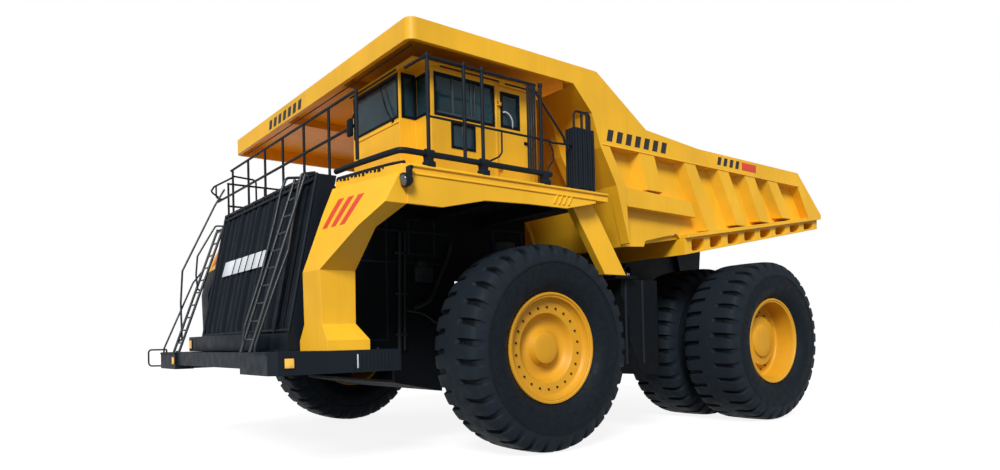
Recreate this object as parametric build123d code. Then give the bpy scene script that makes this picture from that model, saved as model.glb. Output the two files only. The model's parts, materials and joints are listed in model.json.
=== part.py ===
from build123d import *
import math
import os

# Ultra-class rigid mining dump truck. All sizes are in millimetres.
#
# Every piece is drawn about one datum, the centre of the front wheels: X to the truck's left,
# Y rearward, Z up. save() then shifts the pieces so that Z is 0 on the ground under the tyres
# and Y is 0 half way along the truck.

# ---- driving dimensions --------------------------------------------------------------------
TYRE_DIAMETER = 3880
WHEELBASE = 7060
TYRE_WIDTH_FRONT = 1350
TYRE_WIDTH_REAR = 1500
TWIN_GAP = 310              # between the two tyres of a rear pair
RIM_RADIUS = 985            # bead seat
WHEEL_X_FRONT = 4165        # middle of the front tyre
REAR_OUTER_X = 5010         # outer side of the outer rear tyre

RUNNING = 0.05              # radial clearance of a shaft in its bore
SEAT = 0.3                  # gap between curved faces that seat on each other
CLEAR = 6                   # least gap between pieces that move past each other
BEND = 4                    # bend radius of a tube, in tube radii

KINGPIN_X = 3200
STRUT_RADIUS = 200          # sliding tube of a front suspension strut
STRUT_HOUSING_RADIUS = 260
KNUCKLE_SLEEVE_RADIUS = 275
SPINDLE_RADIUS = 240
AXLE_SPINDLE_RADIUS = 420
STEER_ARM = 850             # kingpin to tie rod pin
STEER_ARM_Z = -420
CYLINDER_ARM = 560          # kingpin to steering cylinder pin
CYLINDER_FOOT_X = 1350
CYLINDER_FOOT_Y = -510
CYLINDER_BARREL = 85
CYLINDER_ROD = 50
STEER_PIN = 45
STEER_EYE = 95
EYE_THICK = 120
STEER_LOCK = 35             # degrees each way

RAIL_INNER_X = 700
RAIL_OUTER_X = 1050
RAIL_BOTTOM = -150
RAIL_FRONT_TOP = 380
RAIL_MID_TOP = 620
RAIL_REAR_TOP = 1440
RAIL_ARCH = 900             # underside of the rails over the rear axle
RAIL_FRONT_Y = -4500
RAIL_TAIL = 250             # behind the bed pivot

BUMPER_HALF = 3650
BUMPER_FRONT = -4880
BUMPER_DEPTH = 380
BUMPER_BOTTOM = -310
BUMPER_TOP = 60
BUMPER_REAR = -2600         # rear ends of the bumper's side arms
BUMPER_ARM = 1050           # width of the side arms
BUMPER_CORNER = 1450        # length of each deeper corner box along the front
BUMPER_STEP = 90            # the middle beam is this much shallower than the corners
BUMPER_SET_BACK = 50        # and this far behind their front
BUMPER_CHAMFER = 120
LOOP_REACH = 150            # the guard loop's reach in front of the bumper
LOOP_TUBE = 20

RADIATOR_HALF = 2600
RADIATOR_FOOT_Y = -4140
RADIATOR_HEAD_Y = -3570
RADIATOR_HEAD_Z = 3180
RADIATOR_THICK = 330

DECK_HALF = 4670
DECK_TOP = 3000
DECK_THICK = 150
DECK_FRONT = -3250
DECK_REAR = 1550
VALANCE_THICK = 50

CAB_INNER_X = 1600
CAB_OUTER_X = 3950
CAB_FRONT = -2400
CAB_SHOULDER = -2070        # front of the narrow part that is set back beside the windshield
CAB_STEP_X = 3420           # where the cab's front steps back
CAB_REAR = 350
CAB_TOP = 5060
CAB_WALL = 60
CAB_FLOOR = 60
GLASS = 12
DOOR_FRONT = -580
DOOR_REAR = 200
DOOR_HEAD = 4930
DOOR_GAP = 6

RAIL_TUBE = 26              # handrail tube radius
RAIL_POST = 32              # radius of the posts beside the cab
RAIL_X = 4630               # centreline of the side handrails
FRONT_RAIL_Y = -3300

TANK_INNER_X = 2000
TANK_OUTER_X = 4250
TANK_STEP_X = 3000          # outer side of the tank's narrow rear part
TANK_WIDE_LONG = 910        # length of its wide front part
TANK_BEHIND_TYRE = 620      # gap that lets the steered tyre swing
TANK_TOP = 1390
TANK_BOTTOM = -640
TANK_TYRE_GAP = 140
HYDRAULIC_TANK_SHORTER = 400

BED_HALF = 4450
BED_RIB = 230               # how far ribs and band stand out from the side panel
BED_PANEL = 80
TAIL_BEHIND_AXLE = 3160
CANOPY_FRONT = -2780
CANOPY_TOP = 5510
CANOPY_LIP = 370
CANOPY_CORNER = 160         # corner radius in plan
BAND_BOTTOM = 4060          # lower edge of the band along the top of the side panels
PIVOT_BEHIND_AXLE = 1640    # bed pivot, rearward of the rear axle
PIVOT_Z = 1260
PIVOT_PIN = 110
BED_REST_GAP = 6            # between the bed's beams and the frame rails
LUG_THICK = 150

HOIST_X = 1370
HOIST_FOOT_BEFORE_AXLE = 2060
HOIST_FOOT_Z = 60
HOIST_HEAD_BEFORE_AXLE = 1460
HOIST_HEAD_Z = 1960
HOIST_BARREL_RADIUS = 240
HOIST_STAGE_RADIUS = 200
HOIST_ROD_RADIUS = 150
HOIST_PIN = 90
HOIST_EYE = 170

# ---- derived places ------------------------------------------------------------------------
TYRE_RADIUS = TYRE_DIAMETER / 2
REAR_AXLE = WHEELBASE
PIVOT_Y = REAR_AXLE + PIVOT_BEHIND_AXLE
BED_TAIL = REAR_AXLE + TAIL_BEHIND_AXLE
TANK_FRONT = TYRE_RADIUS + TANK_BEHIND_TYRE
FRONT_END = BUMPER_FRONT - LOOP_REACH - LOOP_TUBE
MID_Y = (FRONT_END + BED_TAIL) / 2
DECK_BOTTOM = DECK_TOP - DECK_THICK
PANEL_X = BED_HALF - BED_RIB


# ---- shape helpers -------------------------------------------------------------------------
def box(x0, x1, y0, y1, z0, z1):
    centre = Pos((x0 + x1) / 2, (y0 + y1) / 2, (z0 + z1) / 2)
    return centre * Box(abs(x1 - x0), abs(y1 - y0), abs(z1 - z0))


def turned(outline):
    """The outline, taken counter-clockwise."""
    following = outline[1:] + outline[:1]
    area = sum(a[0] * b[1] - b[0] * a[1] for a, b in zip(outline, following))
    return outline if area > 0 else outline[::-1]


def prism_x(outline, x0, x1):
    """Solid between x0 and x1 with a (y, z) outline."""
    face = make_face(Plane.YZ * Polyline(*turned(outline), close=True))
    return Pos(min(x0, x1), 0, 0) * extrude(face, abs(x1 - x0))


def prism_y(outline, y0, y1):
    """Solid between y0 and y1 with an (x, z) outline."""
    face = make_face(Plane.XZ * Polyline(*turned(outline), close=True))
    return Pos(0, max(y0, y1), 0) * extrude(face, abs(y1 - y0))


def prism_z(outline, z0, z1):
    """Solid between z0 and z1 with an (x, y) outline."""
    face = make_face(Plane.XY * Polyline(*turned(outline), close=True))
    return Pos(0, 0, min(z0, z1)) * extrude(face, abs(z1 - z0))


def rod(start, end, radius):
    """Round bar from one point to another."""
    axis = Vector(*end) - Vector(*start)
    bar = Cylinder(radius, axis.length, align=(Align.CENTER, Align.CENTER, Align.MIN))
    return Plane(origin=start, z_dir=axis) * bar


def pipe(points, radius):
    """Bent tube: straight runs and an arc at each bend, as tight as the shorter run allows."""
    points = [Vector(*p) for p in points]
    edges, start = [], points[0]
    for before, corner, after in zip(points, points[1:], points[2:]):
        come, go = (corner - before).normalized(), (after - corner).normalized()
        half = math.radians(come.get_angle(go)) / 2
        room = 0.45 * min((corner - before).length, (after - corner).length)
        bend = min(BEND * radius, room / math.tan(half))
        enter, leave = corner - come * bend * math.tan(half), corner + go * bend * math.tan(half)
        inward = (go - come).normalized()
        middle = corner + inward * (bend / math.cos(half) - bend)
        edges += [Line(start, enter), ThreePointArc(enter, middle, leave)]
        start = leave
    edges.append(Line(start, points[-1]))
    section = Plane(origin=points[0], z_dir=points[1] - points[0]) * Circle(radius)
    return sweep(section, path=Wire(edges))


def joined(pieces):
    first, *rest = pieces
    return first + rest if rest else first


def mirrored(piece):
    """The same piece on the truck's right side."""
    return mirror(piece, about=Plane.YZ)


def both(piece):
    """The piece and its copy on the other side, as two solids."""
    return Compound(children=[*piece.solids(), *mirrored(piece).solids()])


def apart(pieces):
    """Solids that share a node and don't touch."""
    return Compound(children=[s for p in pieces for s in p.solids()])


def revolved_x(profile, x):
    """Ring about the X axis from an (offset along X, radius) outline."""
    face = make_face(Plane.XY * Polyline(*turned(profile), close=True))
    return Pos(x, 0, 0) * revolve(face, Axis.X)


def save(name, piece):
    export_step(Pos(0, -MID_Y, TYRE_RADIUS) * piece, f"parts/{name}.step")


# ---- frame ---------------------------------------------------------------------------------
def rail_outline():
    tail = PIVOT_Y + RAIL_TAIL
    return [
        (RAIL_FRONT_Y, RAIL_BOTTOM),
        (RAIL_FRONT_Y, RAIL_FRONT_TOP),
        (-2900, RAIL_FRONT_TOP),
        (-2600, RAIL_MID_TOP),
        (900, RAIL_MID_TOP),
        (2300, RAIL_REAR_TOP),
        (tail, RAIL_REAR_TOP),
        (tail, RAIL_ARCH),
        (REAR_AXLE - 900, RAIL_ARCH),
        (REAR_AXLE - 1800, RAIL_BOTTOM),
    ]


def frame_rails():
    rail = prism_x(rail_outline(), RAIL_INNER_X, RAIL_OUTER_X)
    pivot_pin = rod((RAIL_OUTER_X - 100, PIVOT_Y, PIVOT_Z),
                    (RAIL_OUTER_X + 2 * CLEAR + LUG_THICK + 40, PIVOT_Y, PIVOT_Z), PIVOT_PIN)
    foot_y = REAR_AXLE - HOIST_FOOT_BEFORE_AXLE
    hoist_pin = rod((RAIL_OUTER_X - 100, foot_y, HOIST_FOOT_Z),
                    (HOIST_X + 200, foot_y, HOIST_FOOT_Z), HOIST_PIN)
    bracket_z = EYE_BOTTOM + EYE_THICK / 2 + CYLINDER_BARREL + CLEAR
    bracket = box(RAIL_INNER_X, CYLINDER_FOOT_X + 100, CYLINDER_FOOT_Y - 110, CYLINDER_FOOT_Y + 110,
                  bracket_z, RAIL_BOTTOM)
    steer_pin = rod((CYLINDER_FOOT_X, CYLINDER_FOOT_Y, EYE_BOTTOM - 10),
                    (CYLINDER_FOOT_X, CYLINDER_FOOT_Y, bracket_z + 10), STEER_PIN)
    return both(joined([rail, pivot_pin, hoist_pin, bracket, steer_pin]))


HITCH_EYE = 60
HITCH_Z = 1100
HITCH_BEHIND_PIVOT = 300
MEMBER_BEFORE_HOIST = 2325      # middle of the member ahead of the rear axle
MEMBER_MIDDLE = (1700 + REAR_AXLE - MEMBER_BEFORE_HOIST) / 2
CROSS_MEMBERS = (  # y0, y1, z0, z1
    (RAIL_FRONT_Y, RAIL_FRONT_Y + 250, RAIL_BOTTOM, 300),
    (-2960, -2660, RAIL_BOTTOM, 40),
    (-900, -600, RAIL_BOTTOM, 40),
    (1500, 1900, 0, 620),
    (MEMBER_MIDDLE + 400, MEMBER_MIDDLE + 800, 300, 1100),
    (REAR_AXLE - MEMBER_BEFORE_HOIST - 175, REAR_AXLE - MEMBER_BEFORE_HOIST + 175, -100, 700),
    (PIVOT_Y - 450, PIVOT_Y + 100, RAIL_ARCH, RAIL_REAR_TOP),
)


def cross_members():
    members = [box(-RAIL_INNER_X, RAIL_INNER_X, *c) for c in CROSS_MEMBERS]
    y = PIVOT_Y + HITCH_BEHIND_PIVOT
    hitch = box(-160, 160, PIVOT_Y + 100, y + 140, HITCH_Z - 100, HITCH_Z + 100)
    hitch -= rod((0, y, HITCH_Z - 110), (0, y, HITCH_Z + 110), HITCH_EYE)
    members[-1] += hitch
    return apart(members)


COLLAR_BOTTOM = RAIL_MID_TOP
COLLAR_TOP = 1350
COLLAR_HALF_Y = 380


def suspension_collar():
    """Box beam across the rails that carries the two front suspension struts."""
    end = 220
    plan = [(-KINGPIN_X, -end), (-RAIL_OUTER_X, -COLLAR_HALF_Y), (RAIL_OUTER_X, -COLLAR_HALF_Y),
            (KINGPIN_X, -end), (KINGPIN_X, end), (RAIL_OUTER_X, COLLAR_HALF_Y),
            (-RAIL_OUTER_X, COLLAR_HALF_Y), (-KINGPIN_X, end)]
    beam = prism_z(plan, COLLAR_BOTTOM, COLLAR_TOP)
    pieces = [beam]
    for side in (1, -1):
        x = side * KINGPIN_X
        pieces.append(rod((x, 0, 570), (x, 0, 2100), STRUT_HOUSING_RADIUS))
        pieces.append(rod((x, 0, -550), (x, 0, 600), STRUT_RADIUS))
    return joined(pieces)


TOW_BORE = 55
TOW_BORE_X = (RAIL_INNER_X + RAIL_OUTER_X) / 2
TOW_BORE_Y = BUMPER_FRONT + 220
BEAM_BOTTOM = BUMPER_BOTTOM + BUMPER_STEP


def front_bumper():
    """Middle beam with two towing pin bores, between two deeper corner boxes with arms back."""
    middle = BUMPER_HALF - BUMPER_CORNER
    arm = BUMPER_HALF - BUMPER_ARM
    rear = BUMPER_FRONT + BUMPER_DEPTH
    corner = prism_z([(middle, BUMPER_FRONT), (BUMPER_HALF - BUMPER_CHAMFER, BUMPER_FRONT),
                      (BUMPER_HALF, BUMPER_FRONT + BUMPER_CHAMFER), (BUMPER_HALF, BUMPER_REAR),
                      (arm, BUMPER_REAR), (arm, rear), (middle, rear)], BUMPER_BOTTOM, BUMPER_TOP)
    beam = box(-middle, middle, BUMPER_FRONT + BUMPER_SET_BACK, rear, BEAM_BOTTOM, BUMPER_TOP)
    for x in (TOW_BORE_X, -TOW_BORE_X):
        beam -= rod((x, TOW_BORE_Y, BEAM_BOTTOM - 10), (x, TOW_BORE_Y, BUMPER_TOP + 10), TOW_BORE)
    return joined([beam, corner, mirrored(corner)])


def radiator():
    """Leaning radiator, standing on its cross bar."""
    y, top = RADIATOR_FOOT_Y, RADIATOR_HEAD_Y
    x = RAIL_OUTER_X + SEAT
    bars = [box(side * x, side * RADIATOR_HALF, y - 60, y + RADIATOR_THICK, BUMPER_TOP + SEAT, RAIL_FRONT_TOP)
            for side in (1, -1)]
    inner = RAIL_INNER_X - SEAT
    bars.append(box(-inner, inner, y - 60, y + 200, BUMPER_TOP + SEAT, RAIL_FRONT_TOP))
    outline = [(y, RAIL_FRONT_TOP), (top, RADIATOR_HEAD_Z), (top + RADIATOR_THICK, RADIATOR_HEAD_Z),
               (y + RADIATOR_THICK, RAIL_FRONT_TOP)]
    return joined([prism_x(outline, -RADIATOR_HALF, RADIATOR_HALF), *bars])


COVER_X = 2050                  # inner side of an engine side cover
COVER_THICK = 80
COVER_FRONT = -3000
COVER_REAR = 1500
COVER_BOTTOM = -270
BELLY_FRONT = (-1900, -620)     # y, z of the belly pan's two ends
BELLY_REAR = (-800, -850)
DECK_FRAME_THICK = 40
COVER_TOP = DECK_BOTTOM - DECK_FRAME_THICK
BULKHEAD_THICK = 50
COLLAR_ARCH = 440               # half length of the covers' arch over the suspension collar
ENGINE_TOP = 2450


def engine_block():
    return box(-600, 600, COVER_FRONT + 40, -480, 40, ENGINE_TOP)


def engine_covers():
    """Side covers that hang from the deck round the engine, their front bulkhead and the belly pan."""
    over_collar, belly = COLLAR_TOP + 70, [BELLY_FRONT, BELLY_REAR]
    arch = COLLAR_ARCH
    outline = [(COVER_FRONT, COVER_BOTTOM), (BELLY_FRONT[0], COVER_BOTTOM), *belly, (BELLY_REAR[0], 0), (-arch, 0),
               (-arch, over_collar), (arch, over_collar), (arch, RAIL_MID_TOP), (COVER_REAR, RAIL_MID_TOP),
               (COVER_REAR, COVER_TOP), (COVER_FRONT, COVER_TOP)]
    side = prism_x(outline, COVER_X, COVER_X + COVER_THICK)
    half, frame = COVER_X + COVER_THICK, RAIL_OUTER_X + CLEAR
    bulkhead = box(-half, half, COVER_FRONT - BULKHEAD_THICK, COVER_FRONT, COVER_BOTTOM, COVER_TOP)
    bulkhead -= box(-frame, frame, COVER_FRONT - BULKHEAD_THICK - 10, COVER_FRONT + 10,
                    RAIL_BOTTOM - CLEAR, RAIL_FRONT_TOP + CLEAR)
    pan = prism_x(belly + [(y, z + BULKHEAD_THICK) for y, z in reversed(belly)], -COVER_X - 10, COVER_X + 10)
    return joined([side, mirrored(side), bulkhead, pan])


DECK_FRAME_X = 4200
DECK_BEAMS_Y = (-2600, -1200, 200)
DECK_BEAM_WIDE = 160
DECK_BEAM_DEEP = 220


def deck_frame():
    """Plate under the deck with the cross beams that carry it."""
    plate = box(-DECK_FRAME_X, DECK_FRAME_X, COVER_FRONT, COVER_REAR, COVER_TOP, DECK_BOTTOM)
    inner, outer = COVER_X + COVER_THICK, DECK_HALF - VALANCE_THICK - 100
    beam_bottom = COVER_TOP - DECK_BEAM_DEEP
    for y in DECK_BEAMS_Y:
        for side in (1, -1):
            plate += box(side * inner, side * outer, y, y + DECK_BEAM_WIDE, beam_bottom, DECK_BOTTOM)
    return plate


VALANCE_FRONT = -3000           # a leg's rear face meets the valance there
UPRIGHT_SECTIONS = (  # z, inner x, outer x, front y at the inner edge, front y at the outer edge, rear y
    (BUMPER_TOP, 2650, 3640, -4000, -3940, -3180),
    (230, 2650, 3640, -4000, -3940, -3180),
    (500, 2830, 3470, -3990, -3950, -3350),
    (1390, 2830, 3470, -4000, -3970, -3340),
    (2030, 2860, 4220, -3770, -3640, -3330),
    (2370, 2900, 4640, -3660, -3380, VALANCE_FRONT),
    (DECK_BOTTOM, 2950, 4640, -3480, -3120, VALANCE_FRONT),
)


def section(z, inner, outer, front_inner, front_outer, rear):
    corners = [(inner, front_inner), (outer, front_outer), (outer, rear), (inner, rear)]
    return make_face(Pos(0, 0, z) * Polyline(*corners, close=True))


def uprights():
    """Front legs that carry the deck on the bumper."""
    faces = [section(*s) for s in UPRIGHT_SECTIONS]
    leg = joined([loft([a, b], ruled=True) for a, b in zip(faces, faces[1:])])
    return both(leg)


DECK_FRONT_LEG = -3420          # the deck's front edge where a leg starts under it
DECK_EDGE = ((2950, DECK_FRONT_LEG), (4290, -3180), (4640, -3080), (DECK_HALF, -3000))     # x, y


def deck_edge_y(x):
    """Y of the deck's slanting front edge over a leg."""
    (x0, y0), (x1, y1) = DECK_EDGE[:2]
    return y0 + (x - x0) * (y1 - y0) / (x1 - x0)


def deck():
    half = [(DECK_EDGE[0][0], DECK_FRONT), *DECK_EDGE, (DECK_HALF, DECK_REAR)]
    outline = half + [(-x, y) for x, y in reversed(half)]
    return prism_z(outline, DECK_BOTTOM, DECK_TOP)


VALANCE_LOWER = ((VALANCE_FRONT, 2370), (-2340, 2370), (-1470, 2570), (-500, 2610), (440, 2620), (1210, 2790))


def deck_valances():
    """Skirt along each side of the deck, over the arch of the front tyre."""
    outline = [*VALANCE_LOWER, (VALANCE_LOWER[-1][0], DECK_BOTTOM), (VALANCE_FRONT, DECK_BOTTOM)]
    return both(prism_x(outline, DECK_HALF - VALANCE_THICK, DECK_HALF))


STRUT_HEAD_Y = 740              # front edge of a rear deck strut, under the deck
STRUT_DEEP = 620
STRUT_WIDE = 170
STRUT_SLOPE = 0.671             # rearward per unit down
FOOT_PLATE = 60                 # plate on the tank's top that carries the strut's foot
STRUT_FOOT_Z = TANK_TOP + FOOT_PLATE


def rear_deck_struts():
    """Slanted box under each rear corner of the deck, standing on the tank's foot plate."""
    foot_y = STRUT_HEAD_Y + STRUT_SLOPE * (DECK_BOTTOM - STRUT_FOOT_Z)
    outline = [(STRUT_HEAD_Y, DECK_BOTTOM), (STRUT_HEAD_Y + STRUT_DEEP, DECK_BOTTOM),
               (foot_y + STRUT_DEEP, STRUT_FOOT_Z), (foot_y, STRUT_FOOT_Z)]
    return both(prism_x(outline, TANK_OUTER_X, TANK_OUTER_X + STRUT_WIDE))


TANK_NOSE = 230                 # the tank's upper front stands out by this much
TANK_LOWER_SLANT = 400          # and its lower front slants back by this much
TANK_FOOT_IN = 250              # the foot plate's reach inboard, in front of and behind the strut's foot
TANK_FOOT_FRONT = 300
TANK_FOOT_REAR = 350
TANK_BRACKET = (150, 150, 550)  # length and z range of a bracket
TANK_BRACKETS = (-500, 350)     # from the tank's middle


def tank(rear):
    """Tank between the tyres, wide in front and narrow behind, on two brackets from the frame rail."""
    nose = TANK_FRONT - TANK_NOSE
    front = [(nose, TANK_TOP), (nose, 1060), (TANK_FRONT, 560), (TANK_FRONT, 100),
             (TANK_FRONT + TANK_LOWER_SLANT, TANK_BOTTOM)]
    step = TANK_FRONT + TANK_WIDE_LONG
    shell = prism_x(front + [(rear, TANK_BOTTOM), (rear, TANK_TOP)], TANK_INNER_X, TANK_STEP_X)
    shell += prism_x(front + [(step, TANK_BOTTOM), (step, TANK_TOP)], TANK_STEP_X - 10, TANK_OUTER_X)
    foot_rear = STRUT_HEAD_Y + STRUT_SLOPE * (DECK_BOTTOM - STRUT_FOOT_Z) + STRUT_DEEP
    shell += box(TANK_OUTER_X - TANK_FOOT_IN, TANK_OUTER_X + STRUT_WIDE,
                 foot_rear - TANK_FOOT_FRONT, foot_rear + TANK_FOOT_REAR, TANK_TOP, STRUT_FOOT_Z)
    long, low, high = TANK_BRACKET
    for offset in TANK_BRACKETS:
        y = (TANK_FRONT + rear) / 2 + offset
        shell += box(RAIL_OUTER_X, TANK_INNER_X, y, y + long, low, high)
    return shell


# ---- handrails and ladders -----------------------------------------------------------------
LOUVRED_BOX = (4300, 4560, 790, 1300, 4250)       # x0, x1, y0, y1, top
CAB_RAIL_TOP = 4840
CAB_RAIL_MID = 3845
BASE_PIPE_Z = 3220
BASE_PIPE = 50
BASE_CORNER_Y = -3110           # where the thick base pipe turns along the deck's front
BASE_CORNER_X = 4640
CAB_RAIL_REAR = -60
CAB_POSTS = (-2560, -1840, -1460, -130)     # y of each post
BUNDLE_Y = (-440, -385, -330, -275)         # bundle of tubes by the door
BUNDLE_TUBE = 20


def post(x, y, foot, top, radius=RAIL_TUBE):
    return rod((x, y, foot), (x, y, top), radius)


BRACE_TUBE = 23
SMALL_TUBE = 20
WIRE_TUBE = 16


def handrail_left():
    """Cab handrail: a thick base pipe on foot brackets, with posts and two rails over it."""
    x, base, top = RAIL_X, BASE_PIPE_Z, CAB_RAIL_TOP - RAIL_TUBE
    corner_x, corner_y = BASE_CORNER_X, BASE_CORNER_Y
    head, first, last = CAB_RAIL_TOP - 120, CAB_POSTS[0], BUNDLE_Y[-1]
    box_x, box_y, box_z = LOUVRED_BOX[1] - 60, LOUVRED_BOX[2], CAB_RAIL_MID + 60
    tubes = (
        (BASE_PIPE, [(2720, FRONT_RAIL_Y, base), (3300, corner_y - 150, base),
                     (corner_x - 420, corner_y - 40, base),
                     (corner_x - 60, corner_y + 20, base), (x, corner_y + 110, base),
                     (x, CAB_RAIL_REAR + 150, base)]),
        (RAIL_TUBE, [(CAB_OUTER_X + 60, first - 50, top), (x - 40, first - 30, top), (x, first, top),
                     (x, last + 20, top)]),
        (SMALL_TUBE, [(x, first, CAB_RAIL_MID), (x, 60, CAB_RAIL_MID), (x - 60, 200, CAB_RAIL_MID),
                      (box_x, box_y - 60, box_z), (box_x, box_y, box_z)]),
        (BRACE_TUBE, [(x, last, head), (x, 430, 3980), (x - 30, 490, CAB_RAIL_MID + 20)]),
        (WIRE_TUBE, [(x, -1050, CAB_RAIL_MID), (x, -1050, 3470), (x, -1120, 3380), (x, -1400, base + 20)]),
        (WIRE_TUBE, [(x, 60, CAB_RAIL_MID), (x, 150, 3690), (x, 170, 3520), (x, 40, 3350), (x, 0, base + 10)]),
    )
    pieces = [pipe(points, radius) for radius, points in tubes]
    pieces += [post(x, y, base, CAB_RAIL_TOP, RAIL_POST) for y in CAB_POSTS]
    pieces += [rod((x, y, base), (x, y, top), BUNDLE_TUBE) for y in BUNDLE_Y]
    for y in (first, CAB_POSTS[2], CAB_RAIL_REAR):
        pieces.append(box(x - 60, DECK_HALF - 4, y - 70, y + 70, DECK_TOP, base))
    return joined(pieces)


SIDE_RAIL_TOP = 4440
SIDE_RAIL_MID = 3830


def handrail_right():
    """Plain handrail along the deck's other side."""
    front, rear = FRONT_RAIL_Y + 330, CAB_RAIL_REAR
    heights = (SIDE_RAIL_MID, SIDE_RAIL_TOP - RAIL_TUBE)
    pieces = [rod((-RAIL_X, front, z), (-RAIL_X, rear, z), RAIL_TUBE) for z in heights]
    for k in range(4):
        y = front + RAIL_TUBE + k * (rear - front - 2 * RAIL_TUBE) / 3
        pieces.append(post(-RAIL_X, y, DECK_TOP, SIDE_RAIL_TOP - RAIL_TUBE))
    return joined(pieces)


FRONT_RAIL_TOP = 4420
FRONT_RAIL_MID = 3850
FRONT_RAIL_POSTS = (  # x, foot z
    (-3080, DECK_TOP),
    *((x, RADIATOR_HEAD_Z) for x in (-1950, -850, 200, 1300, 2450)),
)
FRONT_RAIL_LEFT = 3560


def handrail_front():
    """Rails along the deck's front edge, over the radiator's head, with the cage over the right ladder."""
    y, tube = FRONT_RAIL_Y, RAIL_TUBE
    pieces = [rod((-3200, y, FRONT_RAIL_TOP), (FRONT_RAIL_LEFT, y, FRONT_RAIL_TOP), tube),
              rod((-4300, y, FRONT_RAIL_MID), (FRONT_RAIL_LEFT, y, FRONT_RAIL_MID), tube)]
    pieces += [post(x, y, foot, FRONT_RAIL_TOP) for x, foot in FRONT_RAIL_POSTS]
    pieces.append(post(FRONT_RAIL_LEFT, y, BASE_PIPE_Z + 40, FRONT_RAIL_TOP + tube, RAIL_POST))
    pieces.append(pipe([(-3080, y, 4240), (-4000, y - 180, 4160), (-4260, y - 190, 4080), (-4240, y, 3950),
                        (-4240, y, FRONT_RAIL_MID)], 22))
    pieces.append(pipe([(-3080, y, 4270), (-3100, y + 560, 4240), (-3100, y + 560, DECK_TOP)], 22))
    pieces.append(pipe([(-3900, y - 160, 4170), (-3900, y - 160, FRONT_RAIL_MID), (-3900, y, FRONT_RAIL_MID)],
                       SMALL_TUBE))
    return joined(pieces)


LADDER_WIDE = 470
LADDER_STEPS = 10
LADDER_TUBE = 28
RUNG = 18


def stair(x, foot_y, head_y, head_z):
    """Two tube stringers with rungs between them, standing on the bumper, the first stringer at x."""
    foot, head = Vector(x, foot_y, BUMPER_TOP), Vector(x, head_y, head_z)
    across = Vector(LADDER_WIDE, 0, 0)
    below = foot - (head - foot).normalized() * LADDER_TUBE
    under = box(x - 100, x + LADDER_WIDE + 100, foot_y - 200, foot_y + 200, BUMPER_TOP - 200, BUMPER_TOP)
    pieces = [rod(below + side, head + side, LADDER_TUBE) - under for side in (across * 0, across)]
    for k in range(LADDER_STEPS):
        p = foot + (head - foot) * ((k + 0.7) / LADDER_STEPS)
        pieces.append(rod(p, p + across, RUNG))
    return pieces


LEFT_LADDER_X = 2080
RIGHT_LADDER_X = -3420
LEFT_FOOT_Y, RIGHT_FOOT_Y = -4820, -4620
LEFT_HEAD = (-3800, 3140)       # y, z of the left ladder's head, at the radiator's top edge
RIGHT_HEAD = (-3580, DECK_TOP)


LADDER_RAIL = 24
LEFT_RAIL_LOW = ((-4790, BUMPER_TOP), (-4790, BUMPER_TOP + 90), (-4740, 510), (-4450, 1370), (-4190, 2340),
                 (-4060, 2900), (-3960, 3150), (-3620, 3200))       # y, z of the rail beside the first stringer
LEFT_RAIL_HIGH = ((-4740, BUMPER_TOP), (-4740, BUMPER_TOP + 90), (-4400, 1100), (-4130, 1800), (-3930, 2900),
                  (-3870, 3140), (-3620, 3200))


def ladder_left():
    """Ladder in front of the radiator, with a long tube rail beside each stringer."""
    x0, x1 = LEFT_LADDER_X, LEFT_LADDER_X + LADDER_WIDE
    pieces = stair(LEFT_LADDER_X, LEFT_FOOT_Y, *LEFT_HEAD)
    for x, rail in ((x0, LEFT_RAIL_LOW), (x1, LEFT_RAIL_HIGH)):
        pieces.append(pipe([(x, y, z) for y, z in rail], LADDER_RAIL))
    return joined(pieces)


LANDING_THICK = 60


def ladder_right():
    """Ladder in front of the right leg, with its bent tube rails and the guard loop at the bumper's end."""
    x0, x1 = RIGHT_LADDER_X, RIGHT_LADDER_X + LADDER_WIDE
    front = RIGHT_HEAD[0] + 20
    landing = [(x0, front), (x1, front), (-DECK_EDGE[0][0], DECK_FRONT_LEG), (x0, deck_edge_y(-x0))]
    pieces = stair(RIGHT_LADDER_X, RIGHT_FOOT_Y, *RIGHT_HEAD)
    pieces.append(prism_z(landing, DECK_TOP - LANDING_THICK, DECK_TOP))
    low_rail = BUMPER_TOP + 300
    rails = (  # x, radius, (y, z) points
        (x0, 22, [(-4440, low_rail), (-4450, 1210), (-4400, 1960), (-3640, 3570), (-3400, 4000)]),
        (x0, 22, [(-4440, low_rail), (-4560, BUMPER_TOP + 200)]),
        (x1, 20, [(-4190, 1500), (-4220, 1830), (-4180, 2270), (-3870, 2820), (-3760, 3010),
                  (-3560, DECK_TOP + 20)]),
        (x1, 20, [(-4190, 1500), (-4130, 1480)]),
    )
    pieces += [pipe([(x, y, z) for y, z in points], radius) for x, radius, points in rails]
    pieces.append(pipe([(x0 - 60, -4820, BUMPER_TOP), (x0 - 60, -4820, BUMPER_TOP + 80), (x0 - 60, -4150, 1700),
                        (x0, -3960, 1960), (x0, -3900, 2060)], 20))
    end, front = -BUMPER_HALF, BUMPER_FRONT - LOOP_REACH
    low, high = BUMPER_BOTTOM + 50, BUMPER_TOP + 60
    loop = [(end, -4740, low), (end - 120, -4740, low), (end - 420, front, low), (end - 420, front, high),
            (end - 200, -4800, high), (end + 60, -4740, high), (end + 60, -4740, BUMPER_TOP)]
    return joined([*pieces, pipe(loop, LOOP_TUBE)])


def ladders():
    return apart([ladder_left(), ladder_right()])


# ---- cab -----------------------------------------------------------------------------------
SEAT_X = 2750
SEAT_Y = -800
SEAT_HEIGHT = 420


def cab_plan():
    """Outline of the cab in plan: the left part of its front is set back."""
    return [(CAB_INNER_X, CAB_FRONT), (CAB_STEP_X, CAB_FRONT), (CAB_STEP_X, CAB_SHOULDER),
            (CAB_OUTER_X, CAB_SHOULDER), (CAB_OUTER_X, CAB_REAR), (CAB_INNER_X, CAB_REAR)]


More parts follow.
